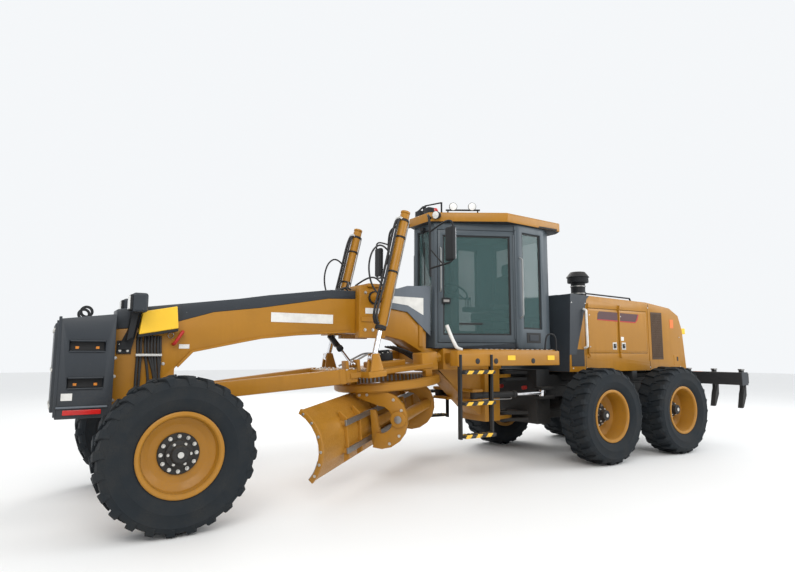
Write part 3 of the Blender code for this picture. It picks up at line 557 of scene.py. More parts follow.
def build_tyre():
    """The carcass, its bead and wall rings, and two staggered rows of lugs."""
    half = [(0.3265, 0.170), (0.345, 0.1722), (0.364, 0.1735), (0.378, 0.188), (0.415, 0.206),
            (0.455, 0.218),
            (0.470, 0.2235), (0.478, 0.2210), (0.520, 0.2255), (0.565, 0.2215), (0.572, 0.2245),
            (0.580, 0.2190),
            (0.608, 0.207), (0.626, 0.182), (0.632, 0.10), (0.634, 0.0)]
    profile = half + [(radius, -across) for radius, across in reversed(half[:-1])]
    parts = [turned([*profile, (0.3265, 0.170)], (0, 0, 0), 64, "tyre")]
    lug = tread_lug()
    pitch = math.tau / 24
    for index in range(24):
        parts.append(copied(lug, Matrix.Rotation(index * pitch, 4, "Y")))
        parts.append(copied(lug, Matrix.Rotation((index + 0.5) * pitch, 4, "Y") @ MIRROR))
    bar = block((-0.016 - TANDEM_X, 0.016 - TANDEM_X), (-0.055, 0.055), (0.625, 0.648), 0.004, "tyre")
    parts += [copied(bar, Matrix.Rotation((index + 0.25) * pitch, 4, "Y")) for index in range(24)]
    for spare in (lug, bar):
        bpy.data.objects.remove(spare, do_unlink=True)
    return welded(parts)


def build_rim(disc, raised):
    """A dished rim with a bolted hub: disc is how far out its plate stands, raised how far its hub does."""
    profile = [(0.0, disc), (0.235, disc), (0.250, disc + 0.006), (0.283, disc + 0.030),
               (0.305, disc + 0.040),
               (0.3115, disc + 0.055), (0.3115, 0.160), (0.318, 0.176), (0.330, 0.1865), (0.350, 0.1885),
               (0.3595, 0.184), (0.3605, 0.1765), (0.345, 0.1733), (0.3255, 0.1728), (0.3255, -0.1728),
               (0.3605, -0.1735), (0.3605, -0.1875), (0.3105, -0.1885), (0.3105, disc - 0.0295),
               (0.0, disc - 0.0295)]
    parts = [turned(profile, (0, 0, 0), 64, "yellow")]
    lock = turned([(0.3125, 0.150), (0.322, 0.158), (0.3125, 0.166)], (0, 0, 0), 48, "black")
    hub = [(0.0, disc + raised), (0.060, disc + raised), (0.070, disc + raised - 0.006),
           (0.078, disc + raised * 0.62),
           (0.112, disc + raised * 0.50), (0.118, disc + 0.024), (0.168, disc + 0.020),
           (0.174, disc + 0.013),
           (0.174, disc - 0.002), (0.0, disc - 0.002)]
    parts += [lock, turned(hub, (0, 0, 0), 48, "black")]
    circle = [math.tau * step / 12 for step in range(12)]
    outward = (0, 1, 0)
    parts += repeated(hexagon_bolt(0.013, 0.020, "zinc"),
                      [Vector((0.146 * math.cos(a), disc + 0.021, 0.146 *
                      math.sin(a))) for a in circle], outward)
    parts += repeated(hexagon_bolt(0.010, 0.014, "zinc"),
                      [Vector((0.092 * math.cos(a), disc + raised * 0.55, 0.092 *
                      math.sin(a))) for a in circle[::2]], outward)
    parts.append(round_bar((0, disc + raised - 0.002, 0), (0, disc + raised + 0.010, 0), 0.026, sides=20,
                           finish="zinc"))
    parts.append(line([Vector((0.20, disc + 0.004, 0.215)), Vector((0.208, disc + 0.05, 0.222)),
                       Vector((0.212, disc + 0.085, 0.226))], 0.0045, "steel", 2))
    return welded(parts)


def make_wheels():
    tyre = build_tyre()
    rims = {"front": build_rim(0.06, 0.105), "middle": build_rim(-0.09, 0.175)}
    rims["rear"] = rims["middle"]
    for name, x, y, body in WHEELS:
        for side, way in (("left", 1), ("right", -1)):
            place = Matrix.Translation(at(x, way * y, AXLE_Z))
            turn = Matrix.Identity(4) if way > 0 else MIRROR
            finished(f"tyre_{name}_{side}_tread", [copied(tyre, place @ turn)], f"{body}_{side}",
                     (f"tyre_{name}_{side}",))
            finished(f"rim_{name}_{side}_dish", [copied(rims[name], place @ turn)], f"{body}_{side}",
                     (f"rim_{name}_{side}",))
    for spare in (tyre, rims["front"], rims["middle"]):
        bpy.data.objects.remove(spare, do_unlink=True)


# ---------------------------------------------------------------- frames, axle, hood


def bolts_on(points, normal, radius=0.013, height=0.011, finish="zinc"):
    return repeated(hexagon_bolt(radius, height, finish), points, normal)


def make_rear():
    clamps = []
    for x in (0.86, -0.44, -1.66):
        for y in (0.56, 0.64):
            clamps += bolts_on([at(x, y, 1.2495)], (0, 0, 1), 0.010, 0.008)
    rails = [line([at(1.30, 0.34, 1.02), at(0.9, 0.445, 1.06), at(0.2, 0.445, 1.04), at(-0.7, 0.445, 1.08),
                   at(-1.6, 0.445, 1.02)], 0.013, "hose"),
             line([at(1.30, 0.31, 1.10), at(0.9, 0.44, 1.12), at(0.1, 0.44, 1.10), at(-1.2, 0.44, 1.13)],
                  0.010, "hose")]
    stop = round_bar(at(1.50, 0.25, 1.02), at(1.56, 0.25, 1.015), 0.03, finish="red")
    rounded_copy("rear_frame", "black", 0.004, both_sides([*clamps, *rails, stop]))
    for side in ("left", "right"):
        way = 1 if side == "left" else -1
        face = 0.7905 * way
        spots = [at(x, face, z) for x in (-0.30, -0.15, 0.0, 0.15, 0.30) for z in (0.47, 0.85)]
        cover = [slab([(-0.42, 0.52), (-0.42, 0.80), (0.42, 0.80), (0.42, 0.52)],
                      *sorted((face - 0.004 * way,
                      face + 0.008 * way)), "Y", 0.003, "black")]
        cover += bolts_on(spots, (0, way, 0))
        cover += bolts_on([at(x, face + 0.008 * way, z) for x in (-0.38, 0.38) for z in (0.56, 0.76)],
                          (0, way, 0))
        cover += [round_bar(at(0.0, face, 0.66), at(0.0, face + 0.022 * way, 0.66), 0.035, sides=20,
                            finish="steel")]
        rounded_copy("tandem_case_" + side, "black", 0.010, cover)
    engine = [block((x, x + 0.12), (-0.285, 0.285), (1.955, 2.05), 0.012, "black")
              for x in (-1.2, -0.95, -0.70, -0.2)]
    engine += [round_bar(at(-1.25, 0.2, 1.9), at(-0.1, 0.2, 1.9), 0.05, finish="steel")]
    engine += [line([at(-0.1, 0.25, 1.8), at(0.25, 0.3, 2.0), at(0.15, 0.12, 2.2), at(0.12, 0.12, 2.33)],
                    0.06, "hose", 5)]
    engine += [slab([(0.25, 1.35), (0.25, 2.25), (0.32, 2.25), (0.32, 1.35)], -0.6, 0.6, "Y", 0.004,
                    "black")]
    rounded_copy("engine_block", "grey", 0.006, engine)


def make_hood():
    side = []
    face = 0.7205
    # The grille slats and their backing take the brown finish: painted shade of the yellow louvres.
    for z in [1.45 + 0.036 * step for step in range(21)]:
        side.append(block((-1.20, -0.94), (face - 0.004, face + 0.004), (z, z + 0.010), 0.0012, "grille_shade",
                          steps=1))
    for x in [-1.20 + 0.0325 * step for step in range(9)]:
        side.append(block((x, x + 0.009), (face - 0.002, face + 0.006), (1.45, 2.18), 0.0012, "grille_shade",
                          steps=1))
    side += [block((-1.225, -0.915), (face - 0.006, face + 0.002), (1.425, 2.205), 0.002, "grille_shade"),
             block((0.75, 1.03), (face - 0.004, face + 0.003), (1.33, 1.58), 0.002, "seal"),
             slab([(1.076, 1.50), (1.022, 2.402), (0.60, 2.388), (0.66, 2.34), (0.93, 1.50)], face - 0.004,
                  face + 0.005, "Y",
                  0.002, "grey"),
             block((-1.55, -1.45), (face - 0.004, face + 0.0025), (1.95, 2.10), 0.001, "orange"),
             block((-1.70, -1.52), (face - 0.004, face + 0.003), (1.33, 1.50), 0.003, "yellow"),
             block((-1.64, -1.60), (face, face + 0.006), (1.40, 1.47), 0.003, "seal")]
    side += [slab([(-0.84, 1.40), (-0.84, 2.26), (-0.865, 2.26), (-0.865, 1.40)], face - 0.002,
                  face + 0.006, "Y", 0.002,
                  "yellow")]
    side += bolts_on([at(x, face, z) for x in (-1.7, -0.85, 0.70, 1.0)
                      for z in (1.30, 2.27 if x > -1.5 else 1.8)],
                     (0, 1, 0), 0.009, 0.007)
    side.append(line([at(0.74, face, 1.60), at(0.74, face + 0.055, 1.61), at(0.735, face + 0.055, 1.66),
                      at(0.745, face + 0.055, 2.12), at(0.74, face + 0.055, 2.17), at(0.74, face, 2.18)],
                     0.019, "white"))
    seam = [block((0.71, 0.716), (face - 0.003, face + 0.002), (1.26, 2.38), 0.0008, "seal", steps=1),
            block((-0.86, -0.854), (face - 0.003, face + 0.002), (1.26, 2.33), 0.0008, "seal", steps=1)]
    top = [block((-0.75, 0.95), (-0.40, 0.40), (2.36, 2.415), 0.012, "pale_grey_and_top_highlight")]
    for step in range(9):
        x = -0.62 + step * 0.075
        top.append(block((x, x + 0.035), (-0.34, 0.34), (2.41, 2.424), 0.003, "black"))
    top += [round_bar(at(0.12, 0.12, 2.40), at(0.12, 0.12, 2.45), 0.14, finish="black", sides=32)]
    for z in (2.50, 2.62):
        top.append(turned([(0.116, -0.010), (0.124, -0.008), (0.124, 0.008), (0.116, 0.010)],
                          at(0.12, 0.12, z), 32,
                          "steel", (0, 0, 1)))
    stack = [round_bar(at(-0.45, -0.28, 2.34), at(-0.45, -0.28, 2.66), 0.055, finish="steel", sides=28),
             line([at(-0.45, -0.28, 2.64), at(-0.45, -0.28, 2.74), at(-0.50, -0.28, 2.80),
                   at(-0.60, -0.28, 2.82)],
                  0.045, "steel", 5),
             round_bar(at(-0.45, -0.28, 2.38), at(-0.45, -0.28, 2.60), 0.075, finish="black", sides=28)]
    nose = [slab([(1.0725, 1.42), (1.044, 1.95), (1.052, 1.95), (1.0805, 1.42)], -0.34, 0.34, "Y", 0.002,
                 "black")]
    for z in [1.46 + 0.05 * step for step in range(10)]:
        x = 1.0805 - (z - 1.42) * 0.0535
        nose.append(block((x - 0.004, x + 0.008), (-0.31, 0.31), (z, z + 0.02), 0.002, "grey"))
    tail = [block((-1.875, -1.845), (-0.50, 0.50), (1.36, 1.80), 0.004, "black")]
    for step in range(15):
        z = 1.38 + 0.028 * step
        tail.append(block((-1.885, -1.865), (-0.48, 0.48), (z, z + 0.012), 0.0015, "grey", steps=1))
    lamps = [block((-1.93, -1.82), (0.56, 0.70), (1.86, 1.96), 0.008, "bright_yellow"),
             block((-1.936, -1.926), (0.575, 0.63), (1.875, 1.945), 0.003, "reflector"),
             block((-1.936, -1.926), (0.64, 0.69), (1.875, 1.945), 0.003, "amber")]
    pieces = [*both_sides([*side, *seam, *lamps]), *top, *stack, *nose, *tail]
    rounded_copy("engine_hood", "yellow", 0.006, pieces, (
        ("black", lambda c, n: c.z > 2.42 or (c.z > 2.30 and abs(n.z) < 0.9 and 0.57 < abs(c.y) < 0.63)),
        ("grey", lambda c, n: (n.x > 0.7 and c.x > 0.9) or (n.x < -0.6 and c.x < -1.6)),
        # Upward hood faces made pale grey: painted highlight where the sky light falls on the top.
        ("pale_grey_and_top_highlight", lambda c, n: n.z > 0.75 and 2.1 < c.z < 2.42)))
    for label, (front, back) in (("front", (0.66, -0.06)), ("rear", (-0.08, -0.80))):
        for where, way in (("left", 1), ("right", -1)):
            skin = [block((back + 0.03, front - 0.03), (0.7205, 0.7235), (1.56, 2.17), 0.002, "yellow")]
            latch = back + 0.10 if label == "front" else front - 0.10
            skin += [block((latch - 0.05, latch + 0.05), (0.7225, 0.7285), (1.58, 1.69), 0.003, "zinc"),
                     block((latch - 0.028, latch + 0.028), (0.728, 0.736), (1.60, 1.67), 0.004, "seal"),
                     round_bar(at(latch, 0.734, 1.65), at(latch, 0.740, 1.65), 0.010, finish="steel",
                               sides=16)]
            if label == "front":
                sign = [(0.43, 2.05), (0.42, 2.13), (0.38, 2.165), (-0.055, 2.16), (-0.055, 2.025),
                        (0.43, 2.03)]
                skin += [slab(sign, 0.7228, 0.7252, "Y", 0.0008, "label_red"),
                         slab([(0.43, 2.028), (0.43, 2.042), (-0.055, 2.034), (-0.055, 2.018)], 0.7236,
                              0.7262, "Y", 0.0006,
                              "red")]
            else:
                sign = [(-0.085, 2.022), (-0.085, 2.158), (-0.60, 2.150), (-0.56, 2.06), (-0.50, 2.012)]
                skin += [slab(sign, 0.7228, 0.7252, "Y", 0.0008, "label_red"),
                         slab([(-0.085, 2.016), (-0.085, 2.032), (-0.50, 2.026), (-0.53, 2.06),
                               (-0.575, 2.15),
                               (-0.60, 2.15), (-0.56, 2.055), (-0.50, 2.008)], 0.7236, 0.7262, "Y", 0.0006,
                              "red"),
                         block((-0.19, -0.12), (0.7225, 0.7255), (1.72, 1.78), 0.001, "white")]
            skin += bolts_on([at(front - 0.05, 0.7235, z) for z in (1.62, 2.10)], (0, 1, 0), 0.008, 0.006)
            parts = skin
            if way < 0:
                parts = [copied(part, MIRROR) for part in skin]
                for part in skin:
                    bpy.data.objects.remove(part, do_unlink=True)
            rounded_copy(f"engine_door_{label}_{where}", "yellow", 0.003, parts)


def make_front():
    side = [slab([(6.79, 1.69), (6.76, 1.92), (6.44, 1.985), (6.42, 1.76)], 0.18, 0.30, "Y", 0.008,
                 "bright_yellow"),
            slab([(6.80, 1.66), (6.79, 1.71), (6.42, 1.775), (6.42, 1.73)], 0.172, 0.29, "Y", 0.003,
                 "black"),
            block((6.28, 6.385), (0.171, 0.1745), (1.555, 1.60), 0.0012, "white"),
            block((4.62, 5.40), (0.171, 0.1740), (1.865, 1.975), 0.0015, "white"),
            block((6.555, 6.80), (0.171, 0.232), (1.475, 1.50), 0.003, "zinc"),
            block((3.30, 3.36), (0.171, 0.185), (1.60, 1.95), 0.004, "yellow")]
    side += [slab([(3.18, 1.74), (3.55, 2.05), (3.92, 2.10), (3.92, 2.29), (3.55, 2.40), (3.18, 2.42)],
                  0.1735, 0.195,
                  "Y", 0.006, "pale_grey_and_top_highlight"),
             slab([(3.30, 2.02), (3.55, 2.14), (3.86, 2.17), (3.86, 2.25), (3.30, 2.25)], 0.194, 0.197, "Y",
                  0.001,
                  "white")]
    side += [line([at(x, 0.185, 1.68), at(x, 0.198, 1.60), at(x - 0.005, 0.20, 1.49),
                   at(x + bend, 0.198, 1.35),
                   at(x + bend * 1.6, 0.195, 1.20), at(x + bend * 1.4, 0.18, 1.12)], 0.013, "hose")
             for x, bend in ((6.785, 0.0), (6.755, 0.0), (6.715, -0.03), (6.685, -0.05), (6.655, -0.03),
                             (6.625, -0.02),
                             (6.595, -0.02), (6.57, 0.0))]
    side += bolts_on([at(x, 0.1715, z) for x in (2.30, 2.50, 2.70, 2.90) for z in (1.38, 1.50)], (0, 1, 0),
                     0.013)
    side += bolts_on([at(6.975, 0.1715, z) for z in (1.05, 1.28, 1.46)] + [at(6.53, 0.1715, 1.40)],
                     (0, 1, 0), 0.012)
    rib = [(6.40, 1.375), (6.26, 1.535), (5.75, 1.645), (5.50, 1.695), (5.04, 1.745), (4.40, 1.785),
           (4.38, 1.765),
           (5.04, 1.723), (5.50, 1.673), (5.75, 1.623), (6.24, 1.517), (6.385, 1.36)]
    side.append(slab(rib, 0.168, 0.186, "Y", 0.003, "yellow"))
    side.append(turned([(0.024, 0.0), (0.028, 0.004), (0.032, 0.0), (0.028, -0.004), (0.024, 0.0)],
                       at(6.47, 0.182, 1.69),
                       24, "zinc"))
    hook = [line([at(6.36, 0.18, 1.72), at(6.36, 0.235, 1.735), at(6.385, 0.245, 1.70),
                  at(6.42, 0.245, 1.64),
                  at(6.44, 0.235, 1.605), at(6.45, 0.20, 1.60), at(6.44, 0.18, 1.60)], 0.018, "red", 4)]
    bay = [block((3.10, 3.16), (-0.20, 0.20), (1.58, 1.60), 0.002, "grey")]
    bay += [line([at(2.9, y, 1.34), at(3.2, y, 1.40), at(3.5, y * 0.9, 1.56), at(3.72, y * 0.8, 1.60)],
                 0.013, "hose")
            for y in (-0.12, -0.04, 0.04, 0.12)]
    rounded_copy("front_frame", "yellow", 0.007, [*both_sides([*side, *hook]), *bay])
    ridge = bolts_on([at(x, y, 0) + Vector((0, 0, z)) for x, z in ((5.6, 2.139), (6.05, 2.068))
                      for y in (-0.1, 0.1)],
                     (0.12, 0, 1), 0.011, 0.008)
    # Upward faces of the grey cover made pale grey: painted highlight on its top.
    rounded_copy("frame_cover", "grey", 0.006, ridge, (
        ("pale_grey_and_top_highlight", lambda c, n: n.z > 0.8),))
    lamp = [slab([(6.97, 1.54), (6.84, 1.54), (6.80, 1.72), (6.78, 1.93), (6.86, 1.96), (6.88, 1.74)],
                 0.182, 0.205,
                 "Y", 0.004, "black"),
            slab([(6.90, 1.62), (6.84, 1.66), (6.79, 1.96), (6.85, 1.98)], 0.20, 0.30, "Y", 0.006, "black"),
            block((6.84, 6.97), (0.174, 0.186), (1.50, 1.63), 0.003, "black")]
    lamp += bolts_on([at(x, 0.186, z) for x in (6.87, 6.94) for z in (1.53, 1.59)], (0, 1, 0), 0.010, 0.008)
    lamp += [block((6.74, 6.88), (0.27, 0.46), (1.90, 2.09), 0.024, "grey"),
             block((6.865, 6.90), (0.285, 0.445), (1.915, 2.075), 0.014, "black"),
             block((6.898, 6.908), (0.30, 0.43), (1.93, 2.06), 0.006, "lamp")]
    steps = []
    for z in (1.18, 1.52):
        steps += [block((7.085, 7.375), (0.374, 0.392), (z - 0.006, z + 0.008), 0.004, "grey"),
                  block((7.085, 7.375), (0.374, 0.392), (z + 0.092, z + 0.106), 0.004, "grey"),
                  block((7.09, 7.37), (0.325, 0.33), (z + 0.01, z + 0.09), 0.002, "seal")]
        steps += [block((x, x + 0.03), (0.330, 0.336), (z + 0.025, z + 0.05), 0.003, "amber")
                  for x in (7.13, 7.30)]
    plate = [block((7.33, 7.42), (0.3795, 0.3830), (1.075, 1.14), 0.001, "white"),
             block((7.09, 7.40), (0.3795, 0.392), (0.945, 0.99), 0.004, "reflector"),
             block((7.04, 7.455), (0.375, 0.398), (1.005, 1.022), 0.004, "pale_grey_and_top_highlight"),
             block((7.45, 7.475), (0.36, 0.385), (0.93, 1.84), 0.004, "grey")]
    studs = repeated(hexagon_bolt(0.016, 0.012),
                     [at(7.498, y, z) for y in (0.12, 0.29) for z in (1.02, 1.35, 1.72)],
                     (1, 0, 0))
    eye = [turned([(0.035, -0.012), (0.060, -0.012), (0.060, 0.012), (0.035, 0.012), (0.035, -0.012)],
                  at(7.25, 0.20, 1.90), 24, "black")]
    rounded_copy("front_counterweight", "grey", 0.008,
                 both_sides([*lamp, *steps, *plate, *studs, *eye]),
                 # Upward faces of the grey counterweight made pale grey: painted highlight on its top.
                 (("pale_grey_and_top_highlight", lambda c, n: n.z > 0.8),))


def make_front_axle():
    axle = bolts_on([at(6.476, y, z) for y in (0.08,) for z in (0.57, 0.75)], (-1, 0, 0))
    axle += bolts_on([at(6.624, y, z) for y in (0.08, 0.30, 0.50) for z in (0.60, 0.70)], (1, 0, 0))
    pin = [round_bar(at(6.45, 0, 0.74), at(6.44, 0, 0.74), 0.05, finish="steel")]
    # Wider rounding on the axle bulges into the swing of the lean brackets.
    rounded_copy("front_axle", "yellow", 0.0004, [*both_sides(axle), *pin])
    for side, way in (("left", 1), ("right", -1)):
        cap = [round_bar(at(x, way * 0.78, 0.60), at(x + 0.008, way * 0.78, 0.60), 0.045, finish="steel")
               for x in (6.671, 6.421)]
        rounded_copy("lean_bracket_" + side, "yellow", 0.004, cap)
        cap = bolts_on([at(6.55 + dx, way * (0.95 + dy), 0.871) for dx in (-0.035, 0.035)
                        for dy in (-0.035, 0.035)],
                       (0, 0, 1), 0.008, 0.008)
        rounded_copy("steering_knuckle_" + side, "yellow", 0.004, cap)
    ends = [round_bar(at(6.285, y - 0.03, 0.47), at(6.285, y + 0.03, 0.47), 0.023, finish="steel")
            for y in (0.76, -0.76)]
    rounded_copy("tie_rod", "black", 0.0, ends)
    rounded_copy("lean_bar", "yellow", 0.004,
                 bolts_on([at(6.70, y, 0.78) for y in (0.78, -0.78)], (1, 0, 0)))


# ---------------------------------------------------------------- cab

DOOR_FRONT, DOOR_REAR = Vector((3.15, 0.24)), Vector((2.08, 0.75))
DOOR_ALONG = (DOOR_REAR - DOOR_FRONT).normalized()
DOOR_OUT = Vector((DOOR_ALONG.y, -DOOR_ALONG.x))


def on_wall(start, along, out, low, high, depth, z, finish, edge=0.002):
    """A flat bar on a slanting wall: low and high run along it, depth is out from its face."""
    corners = [start + along * run + out * deep for run, deep in
               ((low, depth[0]), (high, depth[0]), (high, depth[1]), (low, depth[1]))]
    return slab([tuple(corner) for corner in corners], *z, "Z", edge, finish)


def window(start, end, z, depth=-0.028, gasket=0.022):
    """A pane with a rubber seal round it, from one top-view corner to another."""
    start, end = Vector(start), Vector(end)
    along, run = (end - start).normalized(), (end - start).length
    out = Vector((along.y, -along.x))
    pane = on_wall(start, along, out, -0.006, run + 0.006, (depth - 0.003, depth + 0.003),
                   (z[0] - 0.006, z[1] + 0.006), "glass", 0.0)
    seals = [on_wall(start, along, out, low, high, (depth - 0.009, depth + 0.011), tall, "seal", 0.003)
             for low, high, tall in ((0.0, gasket, z), (run - gasket, run, z),
                                     (gasket * 0.8, run - gasket * 0.8,
             (z[0], z[0] + gasket)), (gasket * 0.8, run - gasket * 0.8, (z[1] - gasket, z[1])))]
    return [pane, *seals]


def mirrored_parts(parts):
    """The right-hand copies only; the left-hand ones are removed."""
    made = [copied(part, MIRROR) for part in parts]
    for part in parts:
        bpy.data.objects.remove(part, do_unlink=True)
    return made


def make_cab():
    front = window((3.15, -0.17), (3.15, 0.17), (1.80, 3.22))
    rear = window((1.34, 0.50), (1.34, -0.50), (2.05, 3.20))
    along = (Vector((1.55, 0.72)) - Vector((2.08, 0.75))).normalized()
    start = Vector((2.08, 0.75)) + along * 0.085
    side = window(start, start + along * 0.37, (1.85, 3.20))
    out = Vector((along.y, -along.x))
    side += [on_wall(start, along, out, 0.05, 0.33, (0.0, 0.006), (1.66, 1.80), "seal"),
             on_wall(start, along, out, 0.10, 0.28, (0.005, 0.012), (1.69, 1.77), "grey")]
    side += [line([at(2.06, 0.755, 2.00), at(2.07, 0.815, 2.02), at(2.07, 0.815, 2.08),
                   at(2.07, 0.815, 2.75),
                   at(2.07, 0.815, 2.81), at(2.06, 0.755, 2.83)], 0.011, "pale_hose")]
    post = [on_wall(DOOR_FRONT, DOOR_ALONG, DOOR_OUT, 0.004, 0.04, (-0.01, 0.006), (1.62, 3.28),
                    "cab_grey")]
    wiper = [line([at(3.155, 0.0, 3.20), at(3.19, 0.0, 3.18), at(3.185, 0.05, 2.85)], 0.008, "black"),
             slab([(3.170, 2.45), (3.182, 2.45), (3.182, 3.05), (3.170, 3.05)], 0.045, 0.057, "Y", 0.002,
                  "seal"),
             block((3.15, 3.20), (-0.04, 0.04), (3.215, 3.26), 0.008, "black")]
    dash = [block((2.90, 3.06), (-0.15, 0.15), (1.64, 1.80), 0.02, "trim"),
            block((1.40, 1.60), (-0.48, 0.48), (1.64, 1.98), 0.02, "trim")]
    rounded_copy("cab_body", "cab_grey", 0.004,
                 [*front, *rear, *wiper, *dash, *both_sides([*side, *post])],
                 (("grey", lambda c, n: c.z < 1.70),))
    for where in ("left", "right"):
        run = (DOOR_REAR - DOOR_FRONT).length - 0.10
        start = DOOR_FRONT + DOOR_ALONG * 0.05
        corner = start + DOOR_ALONG * 0.07
        parts = window(corner, corner + DOOR_ALONG * (run - 0.14), (1.76, 3.13))
        parts += [on_wall(start, DOOR_ALONG, DOOR_OUT, 0.05, 0.17, (0.0, 0.022), (2.18, 2.26), "black",
                          0.004),
                  on_wall(start, DOOR_ALONG, DOOR_OUT, 0.07, 0.15, (0.020, 0.036), (2.20, 2.235), "steel",
                          0.004)]
        bar = [start + DOOR_ALONG * 0.035 + DOOR_OUT * deep for deep in (0.0, 0.05)]
        parts.append(line([at(*bar[0], 2.35), at(*bar[1], 2.37), at(*bar[1], 2.42), at(*bar[1], 2.88),
                           at(*bar[1], 2.93), at(*bar[0], 2.95)], 0.011, "pale_hose"))
        parts.append(on_wall(start, DOOR_ALONG, DOOR_OUT, 0.30, 0.62, (-0.030, -0.018), (1.90, 1.925),
                             "seal"))
        if where == "right":
            parts = mirrored_parts(parts)
        rounded_copy("cab_door_" + where, "cab_grey", 0.004, parts)
    make_roof()
    make_station()


def work_lamp(x, y, z, aim):
    """A round work lamp in a flared round shell, facing along aim."""
    centre, aim = at(x, y, z), Vector(aim).normalized()
    shell = round_bar(centre - aim * 0.035, centre + aim * 0.035, 0.045, 0.058, 0.006, 24, "black")
    lens = round_bar(centre + aim * 0.034, centre + aim * 0.040, 0.050, edge=0.002, finish="lamp")
    return [shell, lens]


ROOF_TOP = 3.43


def make_roof():
    lamps = work_lamp(3.17, 0.34, 3.375, (1, 0.35, -0.1)) + work_lamp(1.16, 0.50, 3.385, (-1, 0, -0.1))
    arm = [line([at(3.16, 0.22, 3.34), at(3.30, 0.30, 3.36), at(3.40, 0.46, 3.32), at(3.42, 0.52, 3.18),
                 at(3.42, 0.52, 2.60), at(3.40, 0.50, 2.50)], 0.016, "black"),
           line([at(3.42, 0.52, 3.08), at(3.40, 0.76, 3.16), at(3.39, 0.90, 3.17), at(3.37, 0.95, 3.12),
                 at(3.36, 0.955, 2.98)], 0.012, "black"),
           line([at(3.42, 0.52, 2.60), at(3.40, 0.78, 2.62), at(3.37, 0.93, 2.64), at(3.36, 0.955, 2.70)],
                0.012, "black"),
           line([at(3.42, 0.52, 2.86), at(3.405, 0.64, 2.74), at(3.40, 0.78, 2.62)], 0.009, "black"),
           block((3.335, 3.395), (0.80, 0.965), (2.66, 3.09), 0.022, "black"),
           block((3.328, 3.336), (0.815, 0.95), (2.68, 3.07), 0.003, "chrome")]
    gutter = [block((1.30, 2.25), (0.735, 0.765), (3.305, 3.33), 0.006, "black")]
    roof_bolts = bolts_on([at(x, 0.62, 3.431) for x in (1.40, 1.80, 2.25)], (0, 0, 1), 0.012, 0.010)
    hatch = [block((1.45, 2.25), (-0.36, 0.36), (3.425, 3.452), 0.010, "yellow")]
    hatch += [block((1.50, 2.20), (y, y + 0.03), (3.448, 3.464), 0.006, "yellow")
              for y in (-0.28, -0.10, 0.07, 0.25)]
    foot = at(2.96, 0.0, ROOF_TOP)
    beacon = [round_bar(foot, foot + Vector((0, 0, 0.03)), 0.062, finish="black"),
              turned([(0.0, 0.145), (0.030, 0.142), (0.045, 0.125), (0.050, 0.10), (0.053, 0.028),
                      (0.0, 0.028)],
                     foot, 32, "reflector", (0, 0, 1))]
    beacon += [turned([(0.0535, z), (0.0555, z + 0.004), (0.053, z + 0.008)], foot, 24, "amber", (0, 0, 1))
               for z in (0.05, 0.075)]
    ends = (at(3.00, 0.31, 3.475), at(2.60, 0.56, 3.475))
    along = (ends[1] - ends[0]).normalized()
    out = Vector((-along.y, along.x, 0)) * -1
    bar = [round_bar(*ends, 0.012, finish="black")]
    bar += [round_bar(ends[0] + along * step, ends[0] + along * step - Vector((0, 0, 0.05)), 0.010,
                      finish="black")
            for step in (0.03, 0.44)]
    for step in (0.10, 0.36):
        spot = ends[0] + along * step + Vector((0, 0, 0.045))
        bar += work_lamp(spot.x - TANDEM_X, spot.y, spot.z, (out.x, out.y, -0.1))
    aerial = [round_bar(at(1.30, -0.40, ROOF_TOP), at(1.30, -0.40, ROOF_TOP + 0.15), 0.004, finish="black", sides=8)]
    # The roof's downward faces take the near-black seal finish: painted shade under the roof's overhang.
    rounded_copy("cab_roof", "yellow", 0.012,
                 [*both_sides([*lamps, *arm, *gutter, *roof_bolts, *bar]),
                 *hatch, *beacon, *aerial], (("seal", lambda c, n: n.z < -0.7 and c.z < 3.34),
                 ("black", lambda c, n: c.z > 3.44)))


def cushion(x, y, z, name, swell=0.02):
    """A padded cushion: a subdivided box whose faces crown and whose sides pull in at the corners."""
    pad = block(x, y, z, 0.02, "cloth", steps=1)
    fresh()
    pad.select_set(True)
    bpy.context.view_layer.objects.active = pad
    bpy.ops.object.mode_set(mode="EDIT")
    bpy.ops.mesh.select_all(action="SELECT")
    bpy.ops.mesh.subdivide(number_cuts=3, smoothness=0.0)
    bpy.ops.object.mode_set(mode="OBJECT")
    low, high = at(x[0], y[0], z[0]), at(x[1], y[1], z[1])
    middle, half = (low + high) / 2, (high - low) / 2
    for vertex in pad.data.vertices:
        spot = [(vertex.co[axis] - middle[axis]) / half[axis] for axis in range(3)]
        for axis in range(3):
            others = [1 - spot[other] ** 2 for other in range(3) if other != axis]
            vertex.co[axis] += spot[axis] * swell * max(0, others[0]) * max(0, others[1])
    bpy.ops.object.modifier_add(type="SUBSURF")
    modifier = pad.modifiers[-1]
    modifier.levels = modifier.render_levels = 1
    bpy.ops.object.modifier_apply(modifier=modifier.name)
    smooth(pad, 60)
    piece = finished(name, [pad], "front")
    return piece


